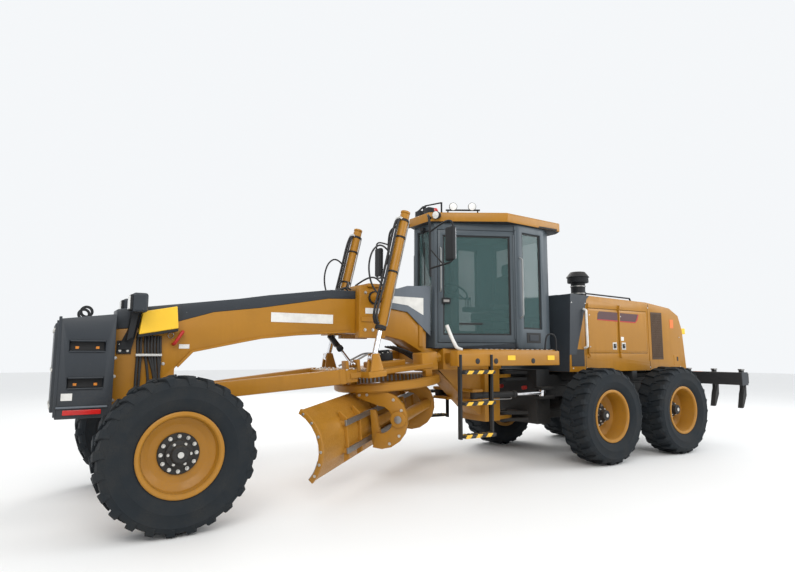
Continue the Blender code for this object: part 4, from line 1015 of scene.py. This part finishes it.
def make_station():
    """The seat, its arms, the wheel on its column, levers and floor mat."""
    base = [block((1.62, 2.75), (-0.24, 0.24), (1.632, 1.66), 0.006, "seal"),
            block((1.70, 2.06), (-0.17, 0.17), (1.66, 1.80), 0.02, "trim"),
            block((1.74, 2.02), (-0.15, 0.15), (1.86, 1.98), 0.02, "trim"),
            block((1.64, 2.14), (-0.23, 0.23), (1.975, 2.01), 0.012, "black"),
            block((1.49, 1.515), (-0.21, 0.21), (2.06, 2.74), 0.012, "black")]
    base += [turned([(0.155 - 0.003 * (step % 2) * 8, step * 0.012) for step in range(7)] + [(0.0, 0.072),
                                                                                             (0.0, 0.0),
             (0.155, 0.0)], at(1.88, 0, 1.795), 32, "seal", (0, 0, 1))]
    column = [slab([(2.62, 1.65), (2.72, 1.65), (2.74, 2.20), (2.70, 2.30), (2.64, 2.30)], -0.07, 0.07, "Y",
                   0.015, "trim"),
              round_bar(at(2.68, 0, 2.26), at(2.585, 0, 2.395), 0.026, finish="black"),
              block((2.62, 2.70), (-0.11, 0.11), (2.30, 2.36), 0.015, "black")]
    axis = Vector((-0.55, 0, 0.83))
    wheel = [turned([(0.178 + 0.013 * math.cos(a), 0.013 * math.sin(a)) for a in
                     [math.tau * step / 12 for step in range(13)]], at(2.59, 0, 2.40), 48, "black", axis,
                    80)]
    side = axis.cross(Vector((0, 1, 0))).normalized()
    for angle in (90, 210, 330):
        spoke = Vector((0, 1, 0)) * math.cos(math.radians(angle)) + side * math.sin(math.radians(angle))
        wheel.append(round_bar(at(2.59, 0, 2.395), at(2.59, 0, 2.40) + spoke * 0.172, 0.011, finish="black",
                               sides=12))
    arms = [block((1.70, 2.20), (0.26, 0.36), (2.14, 2.22), 0.018, "trim"),
            block((1.80, 1.92), (0.24, 0.33), (2.02, 2.15), 0.012, "black")]
    arms += [round_bar(at(x, y, 2.22), at(x + 0.01, y, 2.34), 0.007, finish="black", sides=10)
             for x in (2.08, 2.14) for y in (0.29, 0.33)]
    arms += [round_bar(at(x + 0.01, y, 2.33), at(x + 0.011, y, 2.365), 0.015, finish="black", sides=14)
             for x in (2.08, 2.14) for y in (0.29, 0.33)]
    pedals = [slab([(2.80, 1.66), (2.83, 1.66), (2.88, 1.78), (2.85, 1.78)], y, y + 0.07, "Y", 0.004,
                   "black")
              for y in (-0.12, 0.05)]
    finished("operator_seat_frame", [*base, *column, *wheel, *both_sides(arms), *pedals], "front",
             ("operator_station",))
    cushion((1.63, 2.14), (-0.24, 0.24), (2.005, 2.12), "seat_cushion")
    cushion((1.51, 1.62), (-0.23, 0.23), (2.10, 2.70), "seat_back")
    cushion((1.52, 1.60), (-0.13, 0.13), (2.72, 2.88), "head_rest", 0.012)


# ---------------------------------------------------------------- steps


def make_steps():
    for side, (back, front), way in (("left", (2.84, 3.33), 1), ("right", (2.00, 2.44), -1)):
        parts = [block((back + 0.012, front - 0.012), (0.985, 1.0915), (z - 0.004, z + 0.039), 0.006,
                       "stripes")
                 for z in (1.27, 0.90, 0.52)]
        for z in (1.27, 0.90, 0.52):
            parts += [block((x, x + 0.03), (0.99, 1.085), (z + 0.038, z + 0.044), 0.002, "black")
                      for x in [back + 0.05 + 0.06 * step
                                for step in range(int((front - back - 0.06) / 0.06))]]
        parts += [block((x, x + 0.05), (0.82, 0.96), (1.564, 1.572), 0.003, "steel")
                  for x in [1.68 + 0.09 * step for step in range(15)]]
        parts += [block((x, x + 0.13), (1.0, 1.004), (1.43, 1.49), 0.001, "bright_yellow")
                  for x in (1.70, 2.42)]
        parts += [round_bar(at(x, 0.999, 1.42), at(x, 1.004, 1.42), 0.035, finish="seal")
                  for x in (2.10, 2.75, 3.05)]
        rail = 3.30 if way > 0 else 1.96
        parts.append(line([at(rail - 0.06, 0.93, 1.56), at(rail, 0.92, 1.57), at(rail + 0.02, 0.90, 1.62),
                           at(rail + 0.05, 0.86, 1.72), at(rail + 0.10, 0.84, 1.86)], 0.022, "white"))
        parts.append(line([at(1.64, 0.98, 1.55), at(1.64, 0.99, 1.70), at(1.68, 0.98, 1.78),
                           at(1.78, 0.97, 1.78), at(1.82, 0.96, 1.70), at(1.82, 0.95, 1.56)], 0.012,
                          "black"))
        if way < 0:
            parts = mirrored_parts(parts)
        rounded_copy("cab_platform_" + side, "yellow", 0.006, parts,
                     (("black", lambda c, n: c.z < 1.34 or abs(c.y) > 1.005),))


# ---------------------------------------------------------------- saddle, drawbar, circle and blade

LEVEL = Matrix.Translation(at(BALL[0], 0, BALL[1])) @ Matrix.Rotation(PITCH, 4, "Y")
TURN = LEVEL @ Matrix.Translation((-CIRCLE_BACK, 0, 0)) @ Matrix.Rotation(BLADE_YAW, 4, "Z")
UNSHIFT = Matrix.Translation((-TANDEM_X, 0, 0))


def placed(parts, matrix):
    """Parts made at a frame's own origin, moved to where that frame lies on the machine."""
    for part in parts:
        part.data.transform(matrix @ UNSHIFT)
    return parts


def make_saddle():
    plates = bolts_on([at(x, 0.291, z) for x in (4.02, 4.13, 4.24) for z in (1.80, 2.26)], (0, 1, 0), 0.015,
                      0.013)
    plates += [block((3.97, 4.30), (0.288, 0.305), (1.90, 1.96), 0.004, "yellow"),
               block((4.00, 4.24), (0.29, 0.297), (2.0, 2.07), 0.001, "white")]
    caps = [round_bar(at(4.12, y, 2.20), at(4.12, y + 0.02, 2.20), 0.085, finish="black")
            for y in (0.30, 0.50)]
    bar = [slab([(4.05, 2.33), (4.05, 2.375), (4.22, 2.375), (4.22, 2.33)], -0.33, 0.33, "Y", 0.008,
                "yellow")]
    bar += [round_bar(at(4.135, y, 2.374), at(4.135, y, 2.378), 0.022, finish="seal") for y in
            [-0.27 + 0.09 * step for step in range(7)]]
    lines = [line([at(4.36, y, 2.30), at(4.42, y, 2.34), at(4.46, y * 0.7, 2.30), at(4.50, y * 0.5, 2.295)],
                  0.011,
                  "hose") for y in (-0.13, -0.05, 0.05, 0.13)]
    lines += [line([at(4.28, 0.10 * way, 2.36), at(4.20, 0.25 * way, 2.46), at(4.13, 0.42 * way, 2.44),
                    at(4.12, 0.535 * way, 2.30)], 0.011, "hose") for way in (1, -1)]
    rounded_copy("blade_saddle", "yellow", 0.006,
                 [*both_sides([*plates, *caps]), *bar, *lines])


def lift_hoses(way):
    """The valve block and hose bundle along the front of a lift cylinder."""
    axis = Vector((0.2363, 0, -0.9717))
    ahead = Vector((0.9717, 0, 0.2363))
    start = at(4.12, 0.62 * way, 2.20)

    def spot(run, out, side=0.0):
        return start + axis * run + ahead * out + Vector((0, side * way, 0))

    parts = [line([spot(-0.98, 0.055, side), spot(-0.98, 0.085, side), spot(-0.86, 0.10 + bow, side),
                   spot(-0.45, 0.095 + bow, side), spot(-0.05, 0.10 + bow, side),
                   spot(0.22, 0.12 + bow, side),
                   spot(0.34, 0.09, side), spot(0.36, 0.055, side)], 0.014, "hose")
             for side, bow in ((-0.035, 0.0), (0.0, 0.022), (0.035, 0.0))]
    parts.append(line([spot(-0.52, 0.10), spot(-0.60, 0.22), spot(-0.48, 0.34), spot(-0.24, 0.34),
                       spot(-0.02, 0.22),
                       spot(0.02, 0.11)], 0.011, "hose"))
    parts += [round_bar(spot(run, 0.055, side), spot(run, 0.09, side), 0.020, finish="zinc", sides=12)
              for run in (-0.98,) for side in (-0.035, 0.0, 0.035)]
    parts += [turned([(0.060, -0.012), (0.066, -0.010), (0.066, 0.010), (0.060, 0.012)], spot(run, 0), 28,
                     "black", axis)
              for run in (-0.75, -0.30)]
    parts.append(turned([(0.0, 0.0), (0.050, 0.0), (0.060, 0.008), (0.060, 0.030), (0.058, 0.032),
                         (0.0, 0.032)],
                        spot(-1.062, 0), 32, "yellow", -axis))
    return parts


def make_cylinders():
    record = frame["record"]["behaviour"]["joints"]
    slides = {joint["child"]: Vector(joint["axis"]) for joint in record if joint["type"] == "slide"}
    for node, ring, sides in (("lift_cylinder", 0.058, ("_left", "_right")),
                              ("articulation_cylinder", 0.043,
                              ("_left", "_right")), ("shift_cylinder", 0.033, ("",)),
                              ("ripper_cylinder", 0.045, ("",))):
        for side in sides:
            barrel, rod = f"{node}_barrel{side}", f"{node}_rod{side}"
            axis = slides[rod].normalized()
            low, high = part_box(barrel)
            middle = (Vector(low) + Vector(high)) / 2
            if node == "lift_cylinder":
                way = 1 if side == "_left" else -1
                middle = at(4.12, 0.62 * way, 2.20)
                mouth, tail = middle + axis * 0.42, middle - axis * 1.06
            else:
                corners = [Vector((x, y, z)) for x in (low[0], high[0]) for y in (low[1], high[1]) for z in
                           (low[2], high[2])]
                reach = max((corner - middle).dot(axis) for corner in corners)
                spread = ring * (abs(axis.x * axis.z) + abs(axis.y * axis.z) + abs(axis.x * axis.y)) * 1.2
                mouth, tail = middle + axis * (reach - spread - 0.02), middle - axis * (reach - spread - 0.10)
            parts = [turned([(ring - 0.002, -0.05), (ring + 0.008, -0.045), (ring + 0.010, -0.008),
                             (ring + 0.004, 0.0),
                             (ring * 0.7, 0.001)], mouth, 28, "black", axis),
                     turned([(ring - 0.001, 0.02), (ring + 0.005, 0.024), (ring + 0.005, 0.05),
                             (ring - 0.001, 0.054)],
                            tail + axis * 0.05, 28, "black", axis)]
            side_way = axis.cross(Vector((0, 1, 0))
                                  if abs(axis.y) < 0.5 else Vector((0, 0, 1))).normalized()
            if side_way.x > 0 and node == "lift_cylinder":
                side_way = -side_way
            run = [tail + axis * 0.06, mouth - axis * 0.06]
            parts += [line([run[0] + side_way * ring * 0.8, run[0] + side_way * (ring + 0.02),
                            run[0] + side_way * (ring + 0.02) + axis * 0.03,
                            run[1] + side_way * (ring + 0.02) - axis * 0.03,
                            run[1] + side_way * (ring + 0.02),
                            run[1] + side_way * ring * 0.8], 0.008, "steel")]
            if node == "lift_cylinder":
                parts += lift_hoses(way)
            rounded_copy(barrel, "yellow" if node == "lift_cylinder" else "black", 0.003,
                         parts)
            rounded_copy(rod, "chrome", 0.0015)


def own(x, y, z, finish="yellow", edge=0.004, steps=2):
    """A block given in a tilted frame's own distances; placed() then puts it on the machine."""
    return block(x, y, z, edge, finish, steps=steps)


def make_drawbar():
    bolts = bolts_on([at(x, y, 0.071) for x in (-1.82, -1.73, -1.64) for y in (0.10, 0.22, 0.34, 0.45)],
                     (0, 0, 1), 0.014)
    bolts += bolts_on([at(x, y, -0.029) for x in (-2.85, -2.65, -2.45, -2.25, -2.05) for y in (0.46,)],
                      (0, 0, 1), 0.013)
    gear = [own((-2.72, -2.30), (-0.20, 0.20), (-0.035, 0.10), "yellow", 0.02),
            round_bar(at(-2.52, 0, 0.09), at(-2.52, 0, 0.20), 0.11, finish="black", sides=28),
            round_bar(at(-2.52, 0, 0.19), at(-2.52, 0, 0.235), 0.075, finish="black", sides=28)]
    gear += bolts_on([at(-2.52 + 0.09 * math.cos(a), 0.09 * math.sin(a), 0.20) for a in
                      [math.tau * step / 8 for step in range(8)]], (0, 0, 1), 0.010, 0.010)
    gear += [line([at(-2.45, y, 0.18), at(-2.30, y * 1.3, 0.235), at(-2.10, y * 1.6, 0.16),
                   at(-1.9, y * 2, 0.09)], 0.012,
                  "pale_hose") for y in (-0.05, 0.05)]
    parts = placed([*both_sides(bolts), *gear], LEVEL)
    rounded_copy("drawbar", "yellow", 0.006, parts)


def make_circle():
    teeth = []
    tooth = own((0.520, 0.545), (-0.014, 0.014), (-0.222, -0.138), "steel", 0.004, 1)
    for step in range(56):
        teeth.append(copied(tooth,
                            UNSHIFT.inverted() @ Matrix.Rotation(math.tau * step / 56, 4, "Z") @ UNSHIFT))
    bpy.data.objects.remove(tooth, do_unlink=True)
    arm = []
    for angle in (130, 160, 190, 220, 250):
        a = math.radians(angle)
        arm += bolts_on([at(-0.10 + 0.30 * math.cos(a), 0.6205, -0.56 + 0.30 * math.sin(a))], (0, 1, 0),
                        0.014, 0.012)
    arm += [round_bar(at(-0.34, 0.62, -0.56), at(-0.34, 0.645, -0.56), 0.095, finish="yellow", sides=32),
            round_bar(at(-0.34, 0.64, -0.56), at(-0.34, 0.655, -0.56), 0.045, finish="steel", sides=24)]
    arm += bolts_on([at(x, 0.6205, -0.26) for x in (0.04, 0.14)], (0, 1, 0), 0.014, 0.012)
    ring = turned([(0.681, -0.222), (0.690, -0.216), (0.690, -0.146), (0.681, -0.140)], at(0, 0, 0), 72,
                  "yellow",
                  (0, 0, 1))
    rounded_copy("circle", "yellow", 0.005, placed([*teeth, *both_sides(arm), ring], TURN))
    carrier = bolts_on([at(-0.005, 0.4985, z) for z in (-0.52, -0.66)], (0, -1, 0), 0.013, 0.011)
    rounded_copy("blade_carrier", "yellow", 0.005, placed(both_sides(carrier), TURN))


def blade_section():
    """Points of the blade's front face from its foot to its top, with the outward normal at each."""
    low, high, sag = Vector((0.24, -0.942)), Vector((0.31, -0.262)), 0.17
    half = (high - low).length / 2
    radius = (half ** 2 + sag ** 2) / (2 * sag)
    up = (high - low).normalized()
    forward = Vector((up.y, -up.x))
    middle = (low + high) / 2 + forward * (radius - sag)
    spread = math.asin(half / radius)
    return [(middle - forward * radius * math.cos(a) + up * radius * math.sin(a),
             forward * math.cos(a) - up * math.sin(a))
            for a in [spread * (step / 16 - 1) for step in range(33)]]


def make_blade():
    section = blade_section()
    half, shift = 1.80, 0.01

    def strip(first, last, out, thick, low, high, finish, edge=0.0015):
        """A curved plate following the blade's face between two of its points."""
        face = [spot + normal * out for spot, normal in section[first:last + 1]]
        back = [spot + normal * (out - thick) for spot, normal in section[first:last + 1]]
        return slab([tuple(point) for point in (*face, *reversed(back))], low, high, "Y", edge, finish)

    edge_plate = [strip(0, 6, 0.016, 0.015, -half + shift + 0.32, half + shift - 0.32, "steel", 0.002)]
    ends = [strip(0, 9, 0.017, 0.016, half + shift - 0.315, half + shift - 0.002, "steel", 0.002),
            strip(0, 9, 0.017, 0.016, -half + shift + 0.002, -half + shift + 0.315, "steel", 0.002)]
    bolts = []
    for index in (2, 5):
        spot, normal = section[index]
        spots = [at(spot.x + normal.x * 0.015, y + shift, spot.y + normal.y * 0.015) for y in
                 [-1.38 + 0.184 * step for step in range(16)]]
        bolts += repeated(hexagon_bolt(0.013, 0.007, "zinc", False), spots, (normal.x, 0, normal.y))
    for index in (2, 5, 8):
        spot, normal = section[index]
        spots = [at(spot.x + normal.x * 0.016, y + shift, spot.y + normal.y * 0.016) for y in
                 (-1.72, -1.60, 1.60, 1.72)]
        bolts += repeated(hexagon_bolt(0.015, 0.009, "zinc", False), spots, (normal.x, 0, normal.y))
    lip = [strip(31, 32, 0.010, 0.012, -half + shift + 0.03, half + shift - 0.03, "yellow", 0.002)]
    back = []
    for y in (-1.22, -0.85, -0.30, 0.30, 0.85, 1.22):
        back.append(slab([(0.045, -0.86), (0.11, -0.90), (0.095, -0.60), (0.14, -0.38), (0.13, -0.34),
                          (0.045, -0.42)],
                         y + shift - 0.012, y + shift + 0.012, "Y", 0.003, "yellow"))
    rails = [own((0.036, 0.060), (-1.245, 1.265), (z - 0.006, z + 0.056), "steel", 0.004)
             for z in (-0.80, -0.50)]
    end_face = []
    for way in (1, -1):
        face = shift + way * (half + 0.0005)
        spots = []
        for index in (3, 8, 13, 19, 25, 30):
            spot, normal = section[index]
            spots.append(at(spot.x - normal.x * 0.016, face, spot.y - normal.y * 0.016))
        end_face += repeated(hexagon_bolt(0.012, 0.009, "zinc"), spots, (0, way, 0))
    parts = [*edge_plate, *ends, *bolts, *lip, *back, *rails, *end_face]
    rounded_copy("moldboard", "yellow", 0.003, placed(parts, TURN))


# ---------------------------------------------------------------- ripper


def make_ripper():
    parts = []
    for y in (-0.98, -0.49, 0.0, 0.49, 0.98):
        parts += [slab([(-3.225, 0.98), (-3.215, 0.78), (-3.09, 0.565), (-3.035, 0.560), (-3.075, 0.70),
                        (-3.10, 0.80),
                        (-3.185, 0.98)], y - 0.042, y + 0.042, "Y", 0.006, "black"),
                  round_bar(at(-3.20, y - 0.065, 1.08), at(-3.20, y + 0.065, 1.08), 0.018, finish="steel"),
                  block((-3.215, -3.105), (y - 0.034, y + 0.034), (1.225, 1.25), 0.004, "steel")]
    parts += [block((-3.10, -3.00), (y, y + 0.14), (1.188, 1.192), 0.001, "orange") for y in (0.18, -0.32)]
    for y in (-1.08, 1.08):
        parts.append(block((-3.15, -2.95), (y - 0.015, y + 0.015), (0.965, 1.195), 0.004, "grey"))
    parts += bolts_on([at(-2.70, 0.2505, 1.01), at(-2.90, 0.2505, 1.09)], (0, 1, 0), 0.014)
    rounded_copy("ripper", "black", 0.006, parts)


# ---------------------------------------------------------------- stage


def aimed(kind, name, place, target, energy, size, colour):
    """A soft light facing a point."""
    data = bpy.data.lights.new(name, kind)
    data.energy, data.color = energy, colour
    if kind == "AREA":
        data.shape, data.size, data.size_y = "RECTANGLE", size, size * 0.7
    else:
        data.angle = size
    lamp = bpy.data.objects.new(name, data)
    bpy.context.collection.objects.link(lamp)
    lamp.location = place
    lamp.rotation_euler = (Vector(target) - Vector(place)).to_track_quat("-Z", "Y").to_euler()
    return lamp


CAMERA_SPOT = (5.508, 6.373, 1.511)
CAMERA_AIM = Vector((-0.530, -0.840, 0.119))
SKY_COLOUR = (0.96, 0.98, 1.0, 1)
SKY_STRENGTH = 0.95


def make_stage(tones):
    """The floor, the sky, three soft lights and the camera."""
    fresh()
    bpy.ops.mesh.primitive_plane_add(size=90, location=(0, 0, -0.0015))
    ground = bpy.context.object
    ground.name = "studio_floor"
    g = Graph("Pale studio floor")
    cloud = g.noise(g.place(), 0.6, 3.0)
    g.surface({"Base Color": g.mix(cloud, rgb([c * 0.97 for c in tones.ground]), rgb(tones.ground)),
               "Roughness": (0.75 + cloud * 0.1).clamped()})
    ground.data.materials.append(g.material)
    world = bpy.data.worlds.new("Soft studio")
    bpy.context.scene.world = world
    world.use_nodes = True
    world.node_tree.nodes["Background"].inputs[0].default_value = SKY_COLOUR
    world.node_tree.nodes["Background"].inputs[1].default_value = SKY_STRENGTH
    aimed("AREA", "key", (7.0, 9.5, 9.0), (0, 0, 1.4), 700, 8.0, (1.0, 0.97, 0.92))
    aimed("AREA", "fill", (-9.0, 7.0, 6.0), (-1.0, 0, 1.2), 500, 8.0, (0.95, 0.98, 1.0))
    aimed("AREA", "rim", (-4.0, -10.0, 9.0), (0, 0, 1.5), 700, 7.0, (1.0, 0.98, 0.95))
    data = bpy.data.cameras.new("camera")
    data.lens, data.sensor_width = tones.lens, 36.0
    data.clip_end = 300
    view = bpy.data.objects.new("camera", data)
    bpy.context.collection.objects.link(view)
    view.location = CAMERA_SPOT
    facing = CAMERA_AIM.to_track_quat("-Z", "Y").to_matrix().to_4x4()
    roll = Matrix.Rotation(math.radians(tones.roll), 4, "Z")
    view.rotation_euler = (facing @ roll).to_euler()
    bpy.context.scene.camera = view
    bpy.context.scene.view_settings.view_transform = "Standard"


# ---------------------------------------------------------------- add-on


class GraderTones(bpy.types.PropertyGroup):
    """Colours and the camera's lens."""

    yellow: bpy.props.FloatVectorProperty(name="Machine yellow", description="Main paint", subtype="COLOR",
                                          default=(0.365, 0.160, 0.008), min=0, max=1)
    grey: bpy.props.FloatVectorProperty(name="Panel grey", description="Dark panels and covers",
                                        subtype="COLOR",
                                        default=(0.027, 0.033, 0.041), min=0, max=1)
    # Pale grey panels, and the painted highlight on upward faces of grey parts and the hood.
    pale_grey_and_top_highlight: bpy.props.FloatVectorProperty(name="Pale grey and top highlight", description="Pale grey panels and painted highlight on upward faces", subtype="COLOR",
                                             default=(0.12, 0.14, 0.165), min=0, max=1)
    black: bpy.props.FloatVectorProperty(name="Chassis black", description="Frames and cylinders",
                                         subtype="COLOR",
                                         default=(0.017, 0.018, 0.020), min=0, max=1)
    tyre: bpy.props.FloatVectorProperty(name="Tyre", description="Tread and wall rubber", subtype="COLOR",
                                        default=(0.014, 0.018, 0.022), min=0, max=1)
    cab: bpy.props.FloatVectorProperty(name="Cab grey", description="Cab pillars and doors",
                                       subtype="COLOR",
                                       default=(0.062, 0.079, 0.093), min=0, max=1)
    glass: bpy.props.FloatVectorProperty(name="Glass tint", description="Cab glass", subtype="COLOR",
                                         default=(0.055, 0.115, 0.115), min=0, max=1)
    ground: bpy.props.FloatVectorProperty(name="Floor", description="Studio floor", subtype="COLOR",
                                          default=(0.86, 0.86, 0.855), min=0, max=1)
    lens: bpy.props.FloatProperty(name="Lens", description="Focal length in millimetres", default=25.5,
                                  min=10, max=200)
    roll: bpy.props.FloatProperty(name="Roll", description="Camera roll in degrees", default=0.17, min=-10,
                                  max=10)

class GRADER_OT_mix_finishes(bpy.types.Operator):
    """Make every paint, rubber, metal and glass."""

    bl_idname = "grader.mix_finishes"
    bl_label = "Mix Finishes"

    def execute(self, context):
        mix_finishes(context.scene.grader_tones)
        return {"FINISHED"}


class GRADER_OT_set_stage(bpy.types.Operator):
    """Lay the floor and place the lights and the camera."""

    bl_idname = "grader.set_stage"
    bl_label = "Set Stage"

    def execute(self, context):
        make_stage(context.scene.grader_tones)
        return {"FINISHED"}


class GRADER_OT_make_wheels(bpy.types.Operator):
    """Build the lugged tyres and dished rims."""

    bl_idname = "grader.make_wheels"
    bl_label = "Make Wheels"

    def execute(self, context):
        make_wheels()
        return {"FINISHED"}


class GRADER_OT_make_rear(bpy.types.Operator):
    """Build the rear frame, tandem cases and engine."""

    bl_idname = "grader.make_rear"
    bl_label = "Make Rear Frame"

    def execute(self, context):
        make_rear()
        return {"FINISHED"}


class GRADER_OT_make_hood(bpy.types.Operator):
    """Build the hood, its doors, grilles and exhaust."""

    bl_idname = "grader.make_hood"
    bl_label = "Make Hood"

    def execute(self, context):
        make_hood()
        return {"FINISHED"}


class GRADER_OT_make_front(bpy.types.Operator):
    """Build the front frame, its cover, the counterweight and its lamps."""

    bl_idname = "grader.make_front"
    bl_label = "Make Front Frame"

    def execute(self, context):
        make_front()
        return {"FINISHED"}


class GRADER_OT_make_front_axle(bpy.types.Operator):
    """Build the axle, leaning brackets and steering."""

    bl_idname = "grader.make_front_axle"
    bl_label = "Make Front Axle"

    def execute(self, context):
        make_front_axle()
        return {"FINISHED"}


class GRADER_OT_make_cab(bpy.types.Operator):
    """Build the cab, its glass, roof and seat."""

    bl_idname = "grader.make_cab"
    bl_label = "Make Cab"

    def execute(self, context):
        make_cab()
        return {"FINISHED"}


class GRADER_OT_make_steps(bpy.types.Operator):
    """Build the platforms, striped rungs and rails."""

    bl_idname = "grader.make_steps"
    bl_label = "Make Steps"

    def execute(self, context):
        make_steps()
        return {"FINISHED"}


class GRADER_OT_make_saddle(bpy.types.Operator):
    """Build the blade saddle and its hoses."""

    bl_idname = "grader.make_saddle"
    bl_label = "Make Saddle"

    def execute(self, context):
        make_saddle()
        return {"FINISHED"}


class GRADER_OT_make_cylinders(bpy.types.Operator):
    """Build all hydraulic cylinders."""

    bl_idname = "grader.make_cylinders"
    bl_label = "Make Cylinders"

    def execute(self, context):
        make_cylinders()
        return {"FINISHED"}


class GRADER_OT_make_drawbar(bpy.types.Operator):
    """Build the drawbar and the circle drive."""

    bl_idname = "grader.make_drawbar"
    bl_label = "Make Drawbar"

    def execute(self, context):
        make_drawbar()
        return {"FINISHED"}


class GRADER_OT_make_circle(bpy.types.Operator):
    """Build the toothed circle and its arms."""

    bl_idname = "grader.make_circle"
    bl_label = "Make Circle"

    def execute(self, context):
        make_circle()
        return {"FINISHED"}


class GRADER_OT_make_blade(bpy.types.Operator):
    """Build the blade, its cutting edges and slide rails."""

    bl_idname = "grader.make_blade"
    bl_label = "Make Blade"

    def execute(self, context):
        make_blade()
        return {"FINISHED"}


class GRADER_OT_make_ripper(bpy.types.Operator):
    """Build the ripper beam and shanks."""

    bl_idname = "grader.make_ripper"
    bl_label = "Make Ripper"

    def execute(self, context):
        make_ripper()
        return {"FINISHED"}


OPERATORS = (
    GRADER_OT_mix_finishes,
    GRADER_OT_set_stage,
    GRADER_OT_make_wheels,
    GRADER_OT_make_rear,
    GRADER_OT_make_hood,
    GRADER_OT_make_front,
    GRADER_OT_make_front_axle,
    GRADER_OT_make_cab,
    GRADER_OT_make_steps,
    GRADER_OT_make_saddle,
    GRADER_OT_make_cylinders,
    GRADER_OT_make_drawbar,
    GRADER_OT_make_circle,
    GRADER_OT_make_blade,
    GRADER_OT_make_ripper,
)


class GRADER_PT_build(bpy.types.Panel):
    """Colours and building steps in the sidebar of the 3D view."""

    bl_idname = "GRADER_PT_build"
    bl_label = "Motor Grader"
    bl_space_type = "VIEW_3D"
    bl_region_type = "UI"
    bl_category = "Grader"

    def draw(self, context):
        for tone in GraderTones.__annotations__:
            self.layout.prop(context.scene.grader_tones, tone)
        for operator in OPERATORS:
            self.layout.operator(operator.bl_idname)


CLASSES = (GraderTones, *OPERATORS, GRADER_PT_build)


def register():
    for kind in CLASSES:
        bpy.utils.register_class(kind)
    bpy.types.Scene.grader_tones = bpy.props.PointerProperty(type=GraderTones)


def unregister():
    del bpy.types.Scene.grader_tones
    for kind in reversed(CLASSES):
        bpy.utils.unregister_class(kind)


def main():
    register()
    bpy.ops.grader.mix_finishes()
    bpy.ops.grader.set_stage()
    bpy.ops.grader.make_wheels()
    bpy.ops.grader.make_rear()
    bpy.ops.grader.make_hood()
    bpy.ops.grader.make_front()
    bpy.ops.grader.make_front_axle()
    bpy.ops.grader.make_cab()
    bpy.ops.grader.make_steps()
    bpy.ops.grader.make_saddle()
    bpy.ops.grader.make_cylinders()
    bpy.ops.grader.make_drawbar()
    bpy.ops.grader.make_circle()
    bpy.ops.grader.make_blade()
    bpy.ops.grader.make_ripper()
    fresh()


if __name__ == "__main__":
    main()
